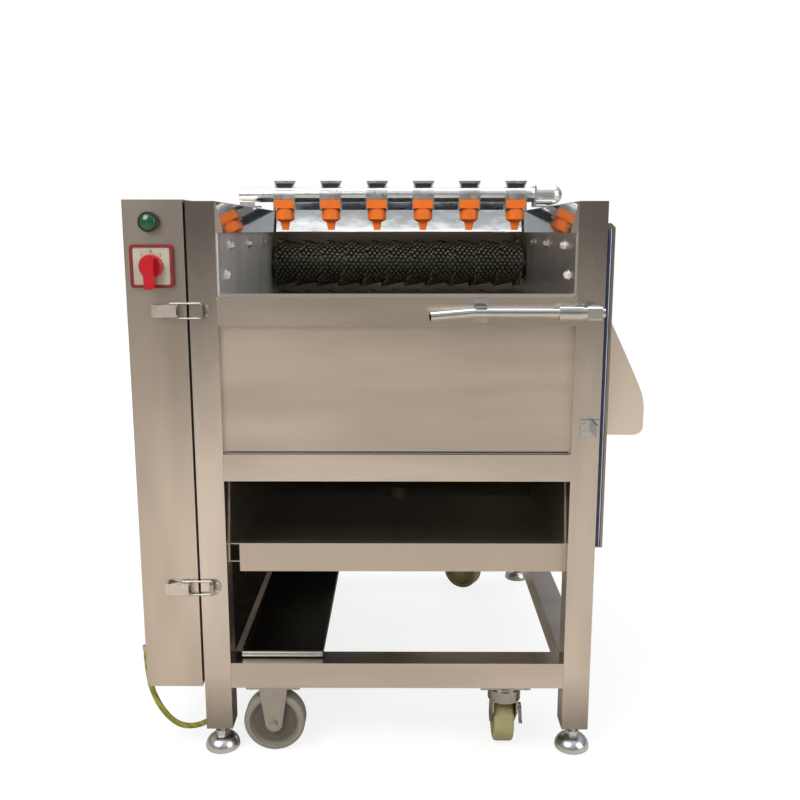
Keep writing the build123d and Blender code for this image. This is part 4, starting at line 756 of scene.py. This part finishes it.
# ---- floor, light, camera ------------------------------------------------------------------------
def floor():
    """Floor: white with the object's shadow to the camera, and warm grey in what it reflects."""
    half_size, sink = 6.0, 0.0004
    bm = bmesh.new()
    signs = ((-1, -1), (1, -1), (1, 1), (-1, 1))
    bm.faces.new([bm.verts.new((x * half_size, y * half_size, -sink)) for x, y in signs])
    mesh = bpy.data.meshes.new("floor")
    bm.to_mesh(mesh)
    bm.free()
    s = Shader("floor_pale", (0.2, 0.2, 0.2), roughness=0.9)
    s.set("Specular IOR Level", 0.0)
    s.set("Emission Color", (1.0, 1.0, 1.0, 1.0))
    distance = s.add("ShaderNodeVectorMath", operation="LENGTH")
    s.link(s.coordinates, distance.inputs[0])
    near, far, pale, white = 0.8, 1.8, 0.84, 1.0
    s.feed(s.span(distance.outputs["Value"], near, far, pale, white), "Emission Strength")
    bounce = s.add("ShaderNodeBsdfDiffuse")
    bounce.inputs["Color"].default_value = (0.62, 0.55, 0.48, 1.0)
    seen = s.add("ShaderNodeLightPath")
    mix = s.add("ShaderNodeMixShader")
    s.link(seen.outputs["Is Camera Ray"], mix.inputs["Fac"])
    s.link(bounce.outputs[0], mix.inputs[1])
    s.link(s.bsdf.outputs[0], mix.inputs[2])
    s.link(mix.outputs[0], s.tree.nodes["Material Output"].inputs["Surface"])
    mesh.materials.append(s.material)
    plane = bpy.data.objects.new("floor", mesh)
    bpy.context.scene.collection.objects.link(plane)


# Colours of the room that reflections see, from 0, straight down, to 1, straight up
ROOM = (
    (0.44, (0.6, 0.54, 0.47)), (0.5, (0.3, 0.28, 0.255)), (0.56, (0.17, 0.17, 0.17)),
    (0.7, (0.3, 0.31, 0.33)), (1.0, (0.7, 0.74, 0.78)),
)


def surroundings():
    """White behind the object; in reflections a darker, warm room with a bright ceiling."""
    world = bpy.data.worlds.new("studio")
    bpy.context.scene.world = world
    world.use_nodes = True
    tree = world.node_tree
    tree.nodes.clear()
    add, link = tree.nodes.new, tree.links.new
    direction = add("ShaderNodeTexCoord")
    parts = add("ShaderNodeSeparateXYZ")
    height = add("ShaderNodeMapRange")
    ramp = add("ShaderNodeValToRGB")
    seen = add("ShaderNodeLightPath")
    room = add("ShaderNodeBackground")
    white = add("ShaderNodeBackground")
    mix = add("ShaderNodeMixShader")
    out = add("ShaderNodeOutputWorld")
    elements = ramp.color_ramp.elements
    for i in (0, -1):
        elements[i].position = ROOM[i][0]
        elements[i].color = (*ROOM[i][1], 1)
    for position, color in ROOM[1:-1]:
        elements.new(position).color = (*color, 1)
    height.inputs["From Min"].default_value = -1.0
    white.inputs["Color"].default_value = (1, 1, 1, 1)
    link(direction.outputs["Generated"], parts.inputs[0])
    link(parts.outputs["Z"], height.inputs["Value"])
    link(height.outputs["Result"], ramp.inputs["Fac"])
    link(ramp.outputs["Color"], room.inputs["Color"])
    link(seen.outputs["Is Camera Ray"], mix.inputs["Fac"])
    link(room.outputs[0], mix.inputs[1])
    link(white.outputs[0], mix.inputs[2])
    link(mix.outputs[0], out.inputs["Surface"])


def softbox(name, place, aim, size, power):
    """Rectangular lamp of a size in metres, at a place in metres, turned to its aim."""
    light = bpy.data.lights.new(name, "AREA")
    light.shape = "RECTANGLE"
    light.size, light.size_y = size
    light.energy = power
    lamp = bpy.data.objects.new(name, light)
    lamp.location = Vector(place)
    lamp.rotation_euler = (Vector(aim) - Vector(place)).to_track_quat("-Z", "Y").to_euler()
    bpy.context.scene.collection.objects.link(lamp)


def lights():
    softbox("key", (-1.6, -2.2, 2.6), (0, 0, 0.45), (1.8, 1.8), 75)
    softbox("fill", (2.4, -1.8, 1.6), (0, 0, 0.4), (1.6, 2.2), 32)
    softbox("top", (0.0, 0.6, 3.0), (0, 0, 0.6), (2.6, 2.6), 45)


CAMERA = {"x": 10.0, "ahead": 1278.3, "height": 791.4, "pitch": 10.539, "yaw": 0.244, "focal_px": 908.7}
IMAGE_WIDTH = 800.0


def camera():
    data = bpy.data.cameras.new("camera")
    data.sensor_width = 36.0
    data.lens = CAMERA["focal_px"] / IMAGE_WIDTH * data.sensor_width
    data.clip_end = 50.0
    eye = bpy.data.objects.new("camera", data)
    eye.location = at(CAMERA["x"], -CAMERA["ahead"], CAMERA["height"])
    eye.rotation_euler = (radians(90 - CAMERA["pitch"]), 0, radians(CAMERA["yaw"]))
    bpy.context.scene.collection.objects.link(eye)
    bpy.context.scene.camera = eye


def build():
    bpy.context.scene.view_settings.view_transform = "Standard"
    finish_nodes()
    for index in ROLLERS:
        brush_roller(index)
    switch_details()
    fasteners()
    clip_loop_shades()
    flare_gussets()
    cover_film()
    panel_film()
    frame_welds()
    earth_lead()
    floor()
    surroundings()
    lights()
    camera()


build()
